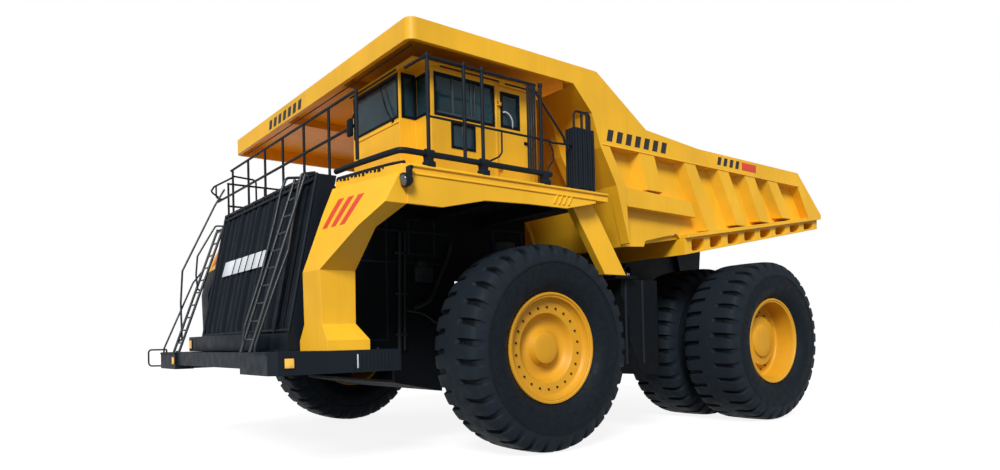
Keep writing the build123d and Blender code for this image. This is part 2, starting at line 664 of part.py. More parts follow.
def cab_floor():
    """Floor plate with the pedestal of the operator's seat."""
    plate = prism_z(cab_plan(), DECK_TOP, DECK_TOP + CAB_FLOOR)
    top = DECK_TOP + CAB_FLOOR + SEAT_HEIGHT - SEAT
    return plate + box(SEAT_X - 180, SEAT_X + 180, SEAT_Y - 200, SEAT_Y + 200, DECK_TOP + CAB_FLOOR, top)


WALL_BOTTOM = DECK_TOP + CAB_FLOOR
WALL_TOP = CAB_TOP - 70
WINDSHIELD = (1660, 3375, 4190, 4950)         # x0, x1, z0, z1
CORNER_PANE = (3450, 3905, 4190, 4900)
STEP_PANE = (-2335, -2085, 4190, 4950)        # y0, y1, z0, z1
SIDE_WINDOW = (-1985, -700, 4170, 4890)       # y0, y1, z0, z1
SLOT_WINDOW = (-1640, -1150, 3630, 4080)
REAR_WINDOW = (2000, 3500, 4200, 4860)
RIGHT_WINDOW = (-2200, 150, 4200, 4900)


def cab_front():
    """Front wall with the windshield, the short step wall and the set-back wall, each with its window."""
    wall = joined([
        box(CAB_INNER_X, CAB_STEP_X, CAB_FRONT, CAB_FRONT + CAB_WALL, WALL_BOTTOM, WALL_TOP),
        box(CAB_STEP_X - CAB_WALL, CAB_STEP_X, CAB_FRONT, CAB_SHOULDER + CAB_WALL, WALL_BOTTOM, WALL_TOP),
        box(CAB_STEP_X - CAB_WALL, CAB_OUTER_X, CAB_SHOULDER, CAB_SHOULDER + CAB_WALL, WALL_BOTTOM, WALL_TOP)])
    for (x0, x1, z0, z1), y in ((WINDSHIELD, CAB_FRONT), (CORNER_PANE, CAB_SHOULDER)):
        wall -= box(x0, x1, y - 10, y + CAB_WALL + 10, z0, z1)
    y0, y1, z0, z1 = STEP_PANE
    return wall - box(CAB_STEP_X - CAB_WALL - 10, CAB_STEP_X + 10, y0, y1, z0, z1)


def cab_rear():
    wall = box(CAB_INNER_X, CAB_OUTER_X, CAB_REAR - CAB_WALL, CAB_REAR, WALL_BOTTOM, WALL_TOP)
    x0, x1, z0, z1 = REAR_WINDOW
    return wall - box(x0, x1, CAB_REAR - CAB_WALL - 10, CAB_REAR + 10, z0, z1)


def cab_side(x0, front, windows):
    wall = box(x0, x0 + CAB_WALL, front + CAB_WALL, CAB_REAR - CAB_WALL, WALL_BOTTOM, WALL_TOP)
    for y0, y1, z0, z1 in windows:
        wall -= box(x0 - 10, x0 + CAB_WALL + 10, y0, y1, z0, z1)
    return wall


HINGE_X = CAB_OUTER_X + 28
HINGE_Y = DOOR_FRONT - DOOR_GAP / 2
HINGE_HEIGHTS = (3400, 4600)
HINGE_PIN = 8
HINGE_BARREL = 16
HINGE_LONG = 60
HINGE_PLATE = 14


def cab_left():
    """Wall with the door's opening and the fixed halves of its two hinges."""
    opening = (DOOR_FRONT - DOOR_GAP, DOOR_REAR + DOOR_GAP, WALL_BOTTOM + 20, DOOR_HEAD + DOOR_GAP)
    wall = cab_side(CAB_OUTER_X - CAB_WALL, CAB_SHOULDER, (SIDE_WINDOW, SLOT_WINDOW, opening))
    reach = HINGE_LONG / 2 + HINGE_PLATE
    for z in HINGE_HEIGHTS:
        for low, high in ((-reach, -HINGE_LONG / 2), (HINGE_LONG / 2, reach)):
            wall += box(CAB_OUTER_X, HINGE_X + HINGE_BARREL, HINGE_Y - 50, HINGE_Y + HINGE_PIN + 2, z + low, z + high)
        wall += rod((HINGE_X, HINGE_Y, z - reach), (HINGE_X, HINGE_Y, z + reach), HINGE_PIN)
    return wall


def cab_right():
    return cab_side(CAB_INNER_X, CAB_FRONT, (RIGHT_WINDOW,))


ROOF_OVERHANG = 50
PANE_INSET = 24                 # from a wall's outer face to the pane in it


def cab_roof():
    over = ROOF_OVERHANG
    return box(CAB_INNER_X - over, CAB_OUTER_X + over, CAB_FRONT - over, CAB_REAR + over, WALL_TOP, CAB_TOP)


def pane_y(window, y):
    """Pane in a wall across the truck whose outer side is at y."""
    x0, x1, z0, z1 = window
    return box(x0 + SEAT, x1 - SEAT, y, y + GLASS, z0 + SEAT, z1 - SEAT)


def pane_x(window, x):
    """Pane in a wall along the truck."""
    y0, y1, z0, z1 = window
    return box(x, x + GLASS, y0 + SEAT, y1 - SEAT, z0 + SEAT, z1 - SEAT)


def cab_glass():
    left = -PANE_INSET - GLASS
    return apart([
        pane_y(WINDSHIELD, CAB_FRONT + PANE_INSET),
        pane_y(CORNER_PANE, CAB_SHOULDER + PANE_INSET),
        pane_y(REAR_WINDOW, CAB_REAR + left),
        pane_x(STEP_PANE, CAB_STEP_X + left),
        pane_x(SIDE_WINDOW, CAB_OUTER_X + left),
        pane_x(SLOT_WINDOW, CAB_OUTER_X + left),
        pane_x(RIGHT_WINDOW, CAB_INNER_X + PANE_INSET)])


DOOR_THICK = 48
DOOR_X = CAB_OUTER_X - 52
DOOR_WINDOW = (-520, -90, 4190, 4830)


def cab_door():
    z0 = WALL_BOTTOM + 20 + DOOR_GAP
    panel = box(DOOR_X, DOOR_X + DOOR_THICK, DOOR_FRONT, DOOR_REAR, z0, DOOR_HEAD)
    y0, y1, w0, w1 = DOOR_WINDOW
    panel -= box(DOOR_X - 10, DOOR_X + DOOR_THICK + 10, y0, y1, w0, w1)
    half = HINGE_LONG / 2 - SEAT
    x, y = HINGE_X, HINGE_Y
    for z in HINGE_HEIGHTS:
        leaf = box(DOOR_X + DOOR_THICK, x, y + HINGE_PIN, y + 50, z - half, z + half)
        barrel = rod((x, y, z - half), (x, y, z + half), HINGE_BARREL)
        panel += leaf + barrel - rod((x, y, z - half - 5), (x, y, z + half + 5), HINGE_PIN + RUNNING)
    return panel


def door_glass():
    return pane_x(DOOR_WINDOW, DOOR_X + (DOOR_THICK - GLASS) / 2)


def operator_seat():
    x, y, z = SEAT_X, SEAT_Y, WALL_BOTTOM + SEAT_HEIGHT
    cushion = box(x - 260, x + 260, y - 260, y + 260, z, z + 140)
    back = box(x - 250, x + 250, y + 230, y + 350, z + 100, z + 780)
    return cushion + back


def cab_console():
    y = CAB_FRONT + CAB_WALL
    dash = box(1800, 3300, y + 20, y + 480, WALL_BOTTOM, WALL_BOTTOM + 950)
    column = rod((SEAT_X, y + 400, WALL_BOTTOM + 850), (SEAT_X, y + 660, WALL_BOTTOM + 1000), 40)
    return dash + column



def louvred_box():
    """Box behind the cab with a tube guard round its top."""
    x0, x1, y0, y1, top = LOUVRED_BOX
    guard = pipe([(x1 - 40, y0 + 20, top), (x1 - 40, y0 + 20, top + 270), (x1 - 40, y0 + 80, top + 330),
                  (x1 - 40, y1 - 60, top + 330), (x1 - 40, y1 - 60, top)], 22)
    corner = post(x1 - 40, y1 - 130, top, top + 360, 34)
    return joined([box(x0, x1, y0, y1, DECK_TOP, top), guard, corner, post(x1 - 40, y0 + 230, top, top + 330)])


def control_cabinet():
    return box(-4100, -1900, -100, 1150, DECK_TOP, 4500)


# ---- front wheels and steering ---------------------------------------------------------------
ARM_THICK = 90
EYE_BOTTOM = STEER_ARM_Z + CLEAR       # underside of the eyes that lie over the arms


def knuckle():
    """Sleeve that turns on the strut tube, with the wheel spindle and the steering arms."""
    x = KINGPIN_X
    sleeve = rod((x, 0, -620), (x, 0, 560), KNUCKLE_SLEEVE_RADIUS)
    spindle = rod((x, 0, 0), (WHEEL_X_FRONT + 320, 0, 0), SPINDLE_RADIUS)
    end = STEER_EYE + 10
    half = [(130, 0), (end, -CYLINDER_ARM), (60, -CYLINDER_ARM - end)]      # half width, y
    tail = [(60, STEER_ARM + end), (end, STEER_ARM)]
    side = tail + half
    arms = [(x + wide, y) for wide, y in side] + [(x - wide, y) for wide, y in reversed(side)]
    body = joined([sleeve, spindle, prism_z(arms, STEER_ARM_Z - ARM_THICK, STEER_ARM_Z)])
    return body - rod((x, 0, -556), (x, 0, 600), STRUT_RADIUS + RUNNING)


def tie_rod_pin():
    """Pin on the left arm, in the tie rod's left eye; the right eye lies over its arm with no pin."""
    x, y = KINGPIN_X, STEER_ARM
    return rod((x, y, STEER_ARM_Z - 10), (x, y, EYE_BOTTOM + EYE_THICK + 20), STEER_PIN)


def tie_rod():
    z = EYE_BOTTOM
    bar = rod((-KINGPIN_X, STEER_ARM, z + EYE_THICK / 2), (KINGPIN_X, STEER_ARM, z + EYE_THICK / 2), 55)
    for x in (KINGPIN_X, -KINGPIN_X):
        bar += rod((x, STEER_ARM, z), (x, STEER_ARM, z + EYE_THICK), STEER_EYE)
    for x in (KINGPIN_X, -KINGPIN_X):
        bar -= rod((x, STEER_ARM, z - 5), (x, STEER_ARM, z + EYE_THICK + 5), STEER_PIN + RUNNING)
    return bar


STEER_BARREL_END = 1150     # from the foot pin
STEER_BORE_START = 130
STEER_ROD_START = 470


def on_steer_cylinder(along):
    """Point on the left steering cylinder's axis, measured from its foot pin."""
    foot = Vector(CYLINDER_FOOT_X, CYLINDER_FOOT_Y, EYE_BOTTOM + EYE_THICK / 2)
    eye = Vector(KINGPIN_X, -CYLINDER_ARM, EYE_BOTTOM + EYE_THICK / 2)
    p = foot + (eye - foot).normalized() * along
    return (p.X, p.Y, p.Z)


def steer_eye(x, y):
    return rod((x, y, EYE_BOTTOM), (x, y, EYE_BOTTOM + EYE_THICK), STEER_EYE)


def steer_barrel():
    eye = steer_eye(CYLINDER_FOOT_X, CYLINDER_FOOT_Y)
    tube = rod(on_steer_cylinder(60), on_steer_cylinder(STEER_BARREL_END), CYLINDER_BARREL)
    bore = rod(on_steer_cylinder(STEER_BORE_START), on_steer_cylinder(STEER_BARREL_END + 10), CYLINDER_ROD + RUNNING)
    hole = rod((CYLINDER_FOOT_X, CYLINDER_FOOT_Y, EYE_BOTTOM - 50),
               (CYLINDER_FOOT_X, CYLINDER_FOOT_Y, EYE_BOTTOM + EYE_THICK + 50), STEER_PIN + RUNNING)
    return eye + tube - bore - hole


def steer_rod():
    length = (Vector(KINGPIN_X, -CYLINDER_ARM) - Vector(CYLINDER_FOOT_X, CYLINDER_FOOT_Y)).length
    shaft = rod(on_steer_cylinder(STEER_ROD_START), on_steer_cylinder(length - 60), CYLINDER_ROD)
    hole = rod((KINGPIN_X, -CYLINDER_ARM, EYE_BOTTOM - 5), (KINGPIN_X, -CYLINDER_ARM, EYE_BOTTOM + EYE_THICK + 5),
               STEER_PIN + RUNNING)
    return shaft + steer_eye(KINGPIN_X, -CYLINDER_ARM) - hole


FLANGE = 45                 # rim flange over the bead seat


def tyre_outline(width):
    """Half section of a tyre, as (offset from its middle, radius)."""
    r, w = TYRE_RADIUS, width / 2
    bead = RIM_RADIUS + SEAT
    right = [(w - 200, bead), (w - 200, bead + FLANGE + 15), (w - 60, bead + 190), (w, bead + 360), (w - 15, r - 330),
             (w - 60, r - 130), (w - 130, r - 40), (w - 260, r)]
    return right + [(-a, b) for a, b in reversed(right)]


def tyre(x, width):
    return revolved_x(tyre_outline(width), x)


def front_rim():
    w = TYRE_WIDTH_FRONT / 2 - 200
    r = RIM_RADIUS
    bore = SPINDLE_RADIUS + RUNNING
    profile = [(-w, r - 60), (-w, r), (w + SEAT, r), (w + SEAT, r + FLANGE), (w + 50, r + FLANGE), (w + 50, r - 60),
               (w - 20, r - 60), (150, 640), (150, 380), (330, 380), (330, bore),
               (-250, bore), (-250, 380), (60, 380), (60, 700), (w - 140, r - 60)]
    return revolved_x(profile, WHEEL_X_FRONT)


def outer_tyre_x():
    return REAR_OUTER_X - TYRE_WIDTH_REAR / 2


def inner_tyre_x():
    return outer_tyre_x() - TYRE_WIDTH_REAR - TWIN_GAP


def rear_tyres():
    return apart([tyre(inner_tyre_x(), TYRE_WIDTH_REAR), tyre(outer_tyre_x(), TYRE_WIDTH_REAR)])


def rear_rim():
    w = TYRE_WIDTH_REAR / 2 - 200
    r = RIM_RADIUS
    inner = inner_tyre_x() - w
    outer = outer_tyre_x() + w + SEAT
    disc = outer_tyre_x() + 60
    bore = AXLE_SPINDLE_RADIUS + RUNNING
    profile = [(inner, r - 60), (inner, r), (outer, r), (outer, r + FLANGE), (outer + 50, r + FLANGE), (outer + 50, r - 60),
               (disc + 80, r - 60), (disc + 80, 520), (disc + 160, 520), (disc + 160, bore), (inner + 100, bore),
               (inner + 100, 520), (disc, 520), (disc, r - 60)]
    return revolved_x(profile, 0)


STRUT_Y = PIVOT_Y - 300


def rear_axle_housing():
    """Axle box with its wheel spindles and forward nose, and the suspension cylinders on its rear arms."""
    y = REAR_AXLE
    half = inner_tyre_x() - TYRE_WIDTH_REAR / 2
    end = outer_tyre_x() + 200
    nose = prism_z([(-500, y), (500, y), (250, y - 2100), (-250, y - 2100)], -280, 280)
    arms = [box(side * 330, side * 640, y, STRUT_Y + 160, -200, 0) for side in (1, -1)]
    struts = [rod((side * 485, STRUT_Y, -10), (side * 485, STRUT_Y, RAIL_ARCH), 130) for side in (1, -1)]
    body = rod((-half + 250, y, 0), (half - 250, y, 0), 620)
    return joined([body, rod((-end, y, 0), (end, y, 0), AXLE_SPINDLE_RADIUS), nose, *arms, *struts])


# ---- hoist cylinders -------------------------------------------------------------------------
def hoist_axis():
    foot = Vector(0, REAR_AXLE - HOIST_FOOT_BEFORE_AXLE, HOIST_FOOT_Z)
    head = Vector(0, REAR_AXLE - HOIST_HEAD_BEFORE_AXLE, HOIST_HEAD_Z)
    return foot, head


def on_hoist(along, x=HOIST_X):
    foot, head = hoist_axis()
    p = foot + (head - foot).normalized() * along
    return (x, p.Y, p.Z)


def hoist_length():
    foot, head = hoist_axis()
    return (head - foot).length


BARREL_TOP = 1640
BARREL_FLOOR = 240
STAGE_FLOOR = 60


def hoist_barrels():
    foot = on_hoist(0)
    eye = rod((HOIST_X - 120, foot[1], foot[2]), (HOIST_X + 120, foot[1], foot[2]), HOIST_EYE)
    tube = rod(on_hoist(60), on_hoist(BARREL_TOP), HOIST_BARREL_RADIUS)
    bore = rod(on_hoist(BARREL_FLOOR), on_hoist(BARREL_TOP + 10), HOIST_STAGE_RADIUS + RUNNING)
    hole = rod((HOIST_X - 300, foot[1], foot[2]), (HOIST_X + 300, foot[1], foot[2]), HOIST_PIN + RUNNING)
    return both(eye + tube - bore - hole)


def hoist_stages():
    start = BARREL_FLOOR + 5
    tube = rod(on_hoist(start), on_hoist(BARREL_TOP + 60), HOIST_STAGE_RADIUS)
    bore = rod(on_hoist(start + STAGE_FLOOR), on_hoist(BARREL_TOP + 70), HOIST_ROD_RADIUS + RUNNING)
    return both(tube - bore)


def hoist_rods():
    length = hoist_length()
    shaft = rod(on_hoist(BARREL_FLOOR + STAGE_FLOOR + 10), on_hoist(length - 60), HOIST_ROD_RADIUS)
    head = on_hoist(length)
    eye = rod((HOIST_X - 110, head[1], head[2]), (HOIST_X + 110, head[1], head[2]), HOIST_EYE)
    hole = rod((HOIST_X - 300, head[1], head[2]), (HOIST_X + 300, head[1], head[2]), HOIST_PIN + RUNNING)
    return both(shaft + eye - hole)


# ---- bed -------------------------------------------------------------------------------------
FLOOR_FRONT = (2600, 2100)      # y, z of the floor's underside at its front
FLOOR_REAR_Z = 3300
FLOOR_THICK = 110
CANOPY_REAR = 1550
CANOPY_PLATE = 80
FLOOR_RIBS = 9
FLOOR_RIB_WIDE = 230
FLOOR_RIB_DEEP = 370            # at the front of the bed
FLOOR_RIB_SHALLOW = 250         # at its tail
FLOOR_RIB_INNER_X = 1950
SKIRT_INNER_X = 3760
SKIRT_OUTER_X = 4360
SKIRT_WALL = 50                 # skin left at the inner ends of its pockets
SKIRT_EDGE = 45                 # skin left over and under them
POCKET_CORNER = 60
BED_INNER_X = PANEL_X - BED_PANEL


def floor_z(y):
    y0, z0 = FLOOR_FRONT
    return z0 + (y - y0) * (FLOOR_REAR_Z - z0) / (BED_TAIL - y0)


FRONT_WALL_LINE = ((900, 5130), (1380, 4650), (1620, 4000), (2050, 3290), (2430, 2080))     # y, z
BED_ROOF = ((CANOPY_REAR, CANOPY_TOP - 10), (3000, 4580), (4780, 4440), (REAR_AXLE + 2000, 4430),
            (BED_TAIL, FLOOR_REAR_Z + FLOOR_THICK + 10))
SIDE_BOTTOM = ((4350, floor_z(4350)), (4230, 2480), (3170, 2250), (3110, 2120), (2430, 2080))


def bed_floor():
    """Floor plate with the cross ribs under it."""
    y0, y1 = FLOOR_FRONT[0], BED_TAIL - 60
    plate = prism_x([(y0, floor_z(y0)), (y1, floor_z(y1)), (y1, floor_z(y1) + FLOOR_THICK),
                     (y0, floor_z(y0) + FLOOR_THICK)], -BED_INNER_X, BED_INNER_X)
    pieces = [plate]
    first, last = SIDE_BOTTOM[0][0], y1 - FLOOR_RIB_WIDE

    def under(y, share=1.0):
        """Point this share of the way from the floor's underside to the skirt's lower edge."""
        deep = FLOOR_RIB_DEEP + (y - first) * (FLOOR_RIB_SHALLOW - FLOOR_RIB_DEEP) / (y1 - first)
        return (y, floor_z(y) - share * deep)

    pitch = (last - first) / (FLOOR_RIBS - 1)
    skirt = prism_x([under(first, 0), under(first), under(y1), under(y1, 0)], SKIRT_INNER_X, SKIRT_OUTER_X)
    for k in range(FLOOR_RIBS):
        y = first + k * pitch
        end = y + FLOOR_RIB_WIDE
        rib = [under(y, -0.05), under(y), under(end), under(end, -0.05)]
        pieces += [prism_x(rib, side * FLOOR_RIB_INNER_X, side * (SKIRT_INNER_X + 10)) for side in (1, -1)]
        if k < FLOOR_RIBS - 1:
            skirt -= pocket(under, end, y + pitch)
    return joined([*pieces, skirt, mirrored(skirt)])


def pocket(under, y0, y1):
    """Round-cornered recess in the skirt between two ribs."""
    edge = Vector(0, 0, SKIRT_EDGE)
    (a, top_a), (b, top_b), low_a, low_b = under(y0, 0), under(y1, 0), under(y0)[1], under(y1)[1]
    outline = [(a, top_a - edge.Z), (a, low_a + edge.Z), (b, low_b + edge.Z), (b, top_b - edge.Z)]
    face = make_face(Plane.YZ * Polyline(*turned(outline), close=True))
    cut = extrude(fillet(face.vertices(), POCKET_CORNER), SKIRT_OUTER_X - SKIRT_INNER_X)
    return Pos(SKIRT_INNER_X + SKIRT_WALL, 0, 0) * cut


def bed_beams():
    """Long beams over the frame rails, with the pivot lugs and the hoist brackets."""
    y0 = FLOOR_FRONT[0]
    beam_end = PIVOT_Y - 250
    bottom = RAIL_REAR_TOP + BED_REST_GAP
    beam = [(y0, bottom), (beam_end, bottom), (beam_end, floor_z(beam_end)), (y0, floor_z(y0))]
    lug = [(PIVOT_Y - 260, PIVOT_Z - 60), (PIVOT_Y - 120, PIVOT_Z - 220), (PIVOT_Y + 120, PIVOT_Z - 220),
           (PIVOT_Y + 260, PIVOT_Z - 60), (PIVOT_Y + 500, floor_z(PIVOT_Y + 500)),
           (PIVOT_Y - 800, floor_z(PIVOT_Y - 800))]
    hole = rod((0, PIVOT_Y, PIVOT_Z), (BED_HALF, PIVOT_Y, PIVOT_Z), PIVOT_PIN + RUNNING)
    head_y = REAR_AXLE - HOIST_HEAD_BEFORE_AXLE
    bracket = [(head_y - 220, HOIST_HEAD_Z - 200), (head_y + 220, HOIST_HEAD_Z - 200),
               (head_y + 320, floor_z(head_y + 320)), (head_y - 320, floor_z(head_y - 320))]
    lug_x = RAIL_OUTER_X + CLEAR
    plate = prism_x(lug, lug_x, lug_x + LUG_THICK) - hole
    return both(joined([prism_x(beam, RAIL_INNER_X, lug_x + 10), plate,
                        prism_x(bracket, RAIL_OUTER_X - 10, HOIST_X - HOIST_ROD_RADIUS - 20)]))


SIDE_RIBS = (  # y of the front edge at the band, width, y of the front edge at the foot, foot z
    (4260, 400, 5080, 2590),
    (5500, 430, 6250, 2820),
    (6620, 410, 7250, 2990),
    (7600, 440, 8250, 3170),
)
RIB_FLARE = 130                 # a rib's sides spread this much towards the panel
RIM_HIGH = 90                   # rim along the side panel's lower edge
SHORT_RIB = (2760, 480, 3020, 3300)
RIM_REAR = REAR_AXLE + 2600
CORNER_POST_DEEP = 280
CORNER_POST_FOOT = (2400, 2110)         # y, z
TAIL_POST_Y = (REAR_AXLE + 1980, REAR_AXLE + 2560)      # front edge at its head and at its foot
STIFFENER = ((2290, 3290), (4520, 3200), (4650, 2860), (2390, 2890))        # y, z


def flared_rib(y, wide, foot_y, foot_z):
    """Rib on a side panel from the band to its foot, wider where it meets the panel."""
    faces = []
    for z, front in ((BAND_BOTTOM + 10, y), (foot_z, foot_y)):
        corners = [(PANEL_X - 10, front - RIB_FLARE), (BED_HALF, front), (BED_HALF, front + wide),
                   (PANEL_X - 10, front + wide + RIB_FLARE)]
        faces.append(make_face(Pos(0, 0, z) * Polyline(*turned(corners), close=True)))
    return loft(faces, ruled=True)


def bed_side():
    """Side panel with its top band, corner post, ribs, stiffener, rim and tail post."""
    wall_top = CANOPY_TOP - CANOPY_PLATE
    under_canopy = [(900, wall_top), (CANOPY_REAR, wall_top)]
    tail_foot = (BED_TAIL, floor_z(BED_TAIL))
    outline = [*under_canopy, *BED_ROOF, tail_foot, *SIDE_BOTTOM, *FRONT_WALL_LINE[-2::-1]]
    panel = prism_x(outline, BED_INNER_X, PANEL_X)
    (roof_y, roof_z), (tail_y, tail_z) = BED_ROOF[-2:]
    band_rear = roof_y + (roof_z - BAND_BOTTOM) * (tail_y - roof_y) / (roof_z - tail_z)
    top_front = FRONT_WALL_LINE[:2]
    (bend_y, bend_z), (low_y, low_z) = FRONT_WALL_LINE[1:3]
    band_y = low_y - (BAND_BOTTOM - low_z) * (low_y - bend_y) / (bend_z - low_z)
    band = [(band_y, BAND_BOTTOM), (band_rear, BAND_BOTTOM), *BED_ROOF[-2::-1], *reversed(under_canopy), *top_front]
    post_rear = [(y + CORNER_POST_DEEP, z) for y, z in FRONT_WALL_LINE[-2:0:-1]]
    corner_post = [*FRONT_WALL_LINE[1:-1], CORNER_POST_FOOT, *post_rear]
    (head_y, foot_y), head_z = TAIL_POST_Y, BAND_BOTTOM + 10
    tail_post = [(head_y, head_z), (band_rear - 10, head_z), (BED_TAIL, tail_z), tail_foot, (foot_y, floor_z(foot_y))]
    rim_ends = [(y, floor_z(y)) for y in (SIDE_BOTTOM[0][0], RIM_REAR)]
    rim = [*rim_ends, *[(y, z + RIM_HIGH) for y, z in reversed(rim_ends)]]
    outer = [prism_x(shape, PANEL_X - 10, BED_HALF) for shape in (band, corner_post, tail_post, rim)]
    return joined([panel, *outer, prism_x(STIFFENER, PANEL_X - 10, BED_HALF - 10),
                   flared_rib(*SHORT_RIB), *[flared_rib(*rib) for rib in SIDE_RIBS]])


WALL_RIBS_X = (1300, 3250)
WALL_RIB_WIDE = 220
WALL_RIB_DEEP = 180
FRONT_WALL_THICK = 120


def bed_front_wall():
    """Bent front wall with upright ribs on its front."""
    line = list(FRONT_WALL_LINE)
    wall = prism_x(line + [(y + FRONT_WALL_THICK, z) for y, z in reversed(line)], -BED_INNER_X, BED_INNER_X)
    ribs = line + [(y - WALL_RIB_DEEP, z) for y, z in reversed(line[1:-1])]
    for x in WALL_RIBS_X:
        wall += prism_x(ribs, x, x + WALL_RIB_WIDE) + prism_x(ribs, -x - WALL_RIB_WIDE, -x)
    return wall


def canopy_shell(inset, z0, z1):
    """Block with the canopy's outline in plan, its front corners round, drawn in by inset."""
    half = BED_HALF - inset
    block = box(-half, half, CANOPY_FRONT + inset, CANOPY_REAR, z0, z1)
    front = block.edges().filter_by(Axis.Z).sort_by(Axis.Y)[:2]
    return fillet(front, CANOPY_CORNER - inset)


def bed_canopy():
    """Plate over the cab with a lip along its front and sides, and two long ribs under it."""
    lip = CANOPY_TOP - CANOPY_LIP
    side_end = FRONT_WALL_LINE[0][0]
    shell = canopy_shell(0, lip, CANOPY_TOP) - canopy_shell(CANOPY_PLATE, lip - 10, CANOPY_TOP - CANOPY_PLATE)
    shell -= box(-BED_HALF - 10, BED_HALF + 10, side_end, CANOPY_REAR + 10, lip - 10, CANOPY_TOP - CANOPY_PLATE)
    for side in (1, -1):
        shell += box(side * 1400, side * 1480, CANOPY_FRONT + CANOPY_PLATE - 10, side_end, lip + 120, CANOPY_TOP - CANOPY_PLATE + 10)
    return shell


# ---- write the pieces ------------------------------------------------------------------------
def main():
    os.makedirs("parts", exist_ok=True)
    rear = Pos(0, REAR_AXLE, 0)
    save("frame_rails", frame_rails())
    save("cross_members", cross_members())
    save("suspension_collar", suspension_collar())
    save("front_bumper", front_bumper())
    save("radiator", radiator())
    save("engine_block", engine_block())
    save("engine_covers", engine_covers())
    save("deck_frame", deck_frame())
    save("uprights", uprights())
    save("deck", deck())
    save("deck_valances", deck_valances())
    save("rear_deck_struts", rear_deck_struts())
    tank_rear = REAR_AXLE - TYRE_RADIUS - TANK_TYRE_GAP
    save("fuel_tank", tank(tank_rear))
    save("hydraulic_tank", mirrored(tank(tank_rear - HYDRAULIC_TANK_SHORTER)))
    save("handrail_left", handrail_left())
    save("handrail_right", handrail_right())
    save("handrail_front", handrail_front())
    save("ladders", ladders())
    save("cab_floor", cab_floor())
    save("cab_front", cab_front())
    save("cab_rear", cab_rear())
    save("cab_left", cab_left())
    save("cab_right", cab_right())
    save("cab_roof", cab_roof())
    save("cab_glass", cab_glass())
    save("cab_door", cab_door())
    save("door_glass", door_glass())
    save("operator_seat", operator_seat())
    save("cab_console", cab_console())
    save("louvred_box", louvred_box())
    save("control_cabinet", control_cabinet())
    for side, turn in (("left", lambda p: p), ("right", mirrored)):
        save(f"steer_barrel_{side}", turn(steer_barrel()))
        save(f"steer_rod_{side}", turn(steer_rod()))
        save(f"front_rim_{side}", turn(front_rim()))
        save(f"front_tyre_{side}", turn(tyre(WHEEL_X_FRONT, TYRE_WIDTH_FRONT)))
        save(f"rear_rim_{side}", rear * turn(rear_rim()))
        save(f"rear_tyres_{side}", rear * turn(rear_tyres()))
        save(f"bed_side_{side}", turn(bed_side()))
    save("knuckle_left", knuckle() + tie_rod_pin())
    save("knuckle_right", mirrored(knuckle()))
    save("tie_rod", tie_rod())
    save("rear_axle_housing", rear_axle_housing())
    save("hoist_barrels", hoist_barrels())
    save("hoist_stages", hoist_stages())
    save("hoist_rods", hoist_rods())
    save("bed_floor", bed_floor())
    save("bed_beams", bed_beams())
    save("bed_front_wall", bed_front_wall())
    save("bed_canopy", bed_canopy())


main()
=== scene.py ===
import json
import math

import bmesh
import bpy
from mathutils import Matrix, Vector
from mathutils.bvhtree import BVHTree

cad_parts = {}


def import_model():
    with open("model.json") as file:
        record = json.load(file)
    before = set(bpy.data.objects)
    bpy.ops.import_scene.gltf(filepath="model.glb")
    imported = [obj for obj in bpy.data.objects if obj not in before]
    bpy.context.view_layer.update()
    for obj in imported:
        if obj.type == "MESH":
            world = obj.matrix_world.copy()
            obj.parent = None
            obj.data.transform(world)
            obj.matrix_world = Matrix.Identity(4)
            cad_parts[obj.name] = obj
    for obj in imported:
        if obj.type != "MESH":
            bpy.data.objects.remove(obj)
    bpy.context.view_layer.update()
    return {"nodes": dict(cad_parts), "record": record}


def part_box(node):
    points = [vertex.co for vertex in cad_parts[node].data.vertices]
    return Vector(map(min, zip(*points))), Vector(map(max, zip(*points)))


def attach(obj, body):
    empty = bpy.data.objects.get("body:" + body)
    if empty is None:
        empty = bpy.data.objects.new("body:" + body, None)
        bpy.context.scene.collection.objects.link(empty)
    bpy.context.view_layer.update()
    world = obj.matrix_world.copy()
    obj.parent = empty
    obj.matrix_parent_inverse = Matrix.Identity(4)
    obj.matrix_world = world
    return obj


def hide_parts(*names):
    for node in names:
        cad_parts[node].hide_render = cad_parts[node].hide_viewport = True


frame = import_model()
NODES = frame["nodes"]

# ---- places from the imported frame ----
TYRE_LO, TYRE_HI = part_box("front_tyre_left")
AXLE_Y = (TYRE_LO.y + TYRE_HI.y) / 2
TYRE_R = (TYRE_HI.z - TYRE_LO.z) / 2
REAR_LO, REAR_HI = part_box("rear_tyres_left")
REAR_Y = (REAR_LO.y + REAR_HI.y) / 2


def at(x, y, z):
    """Point measured from the middle of the front axle, in metres."""
    return Vector((x, AXLE_Y + y, TYRE_R + z))


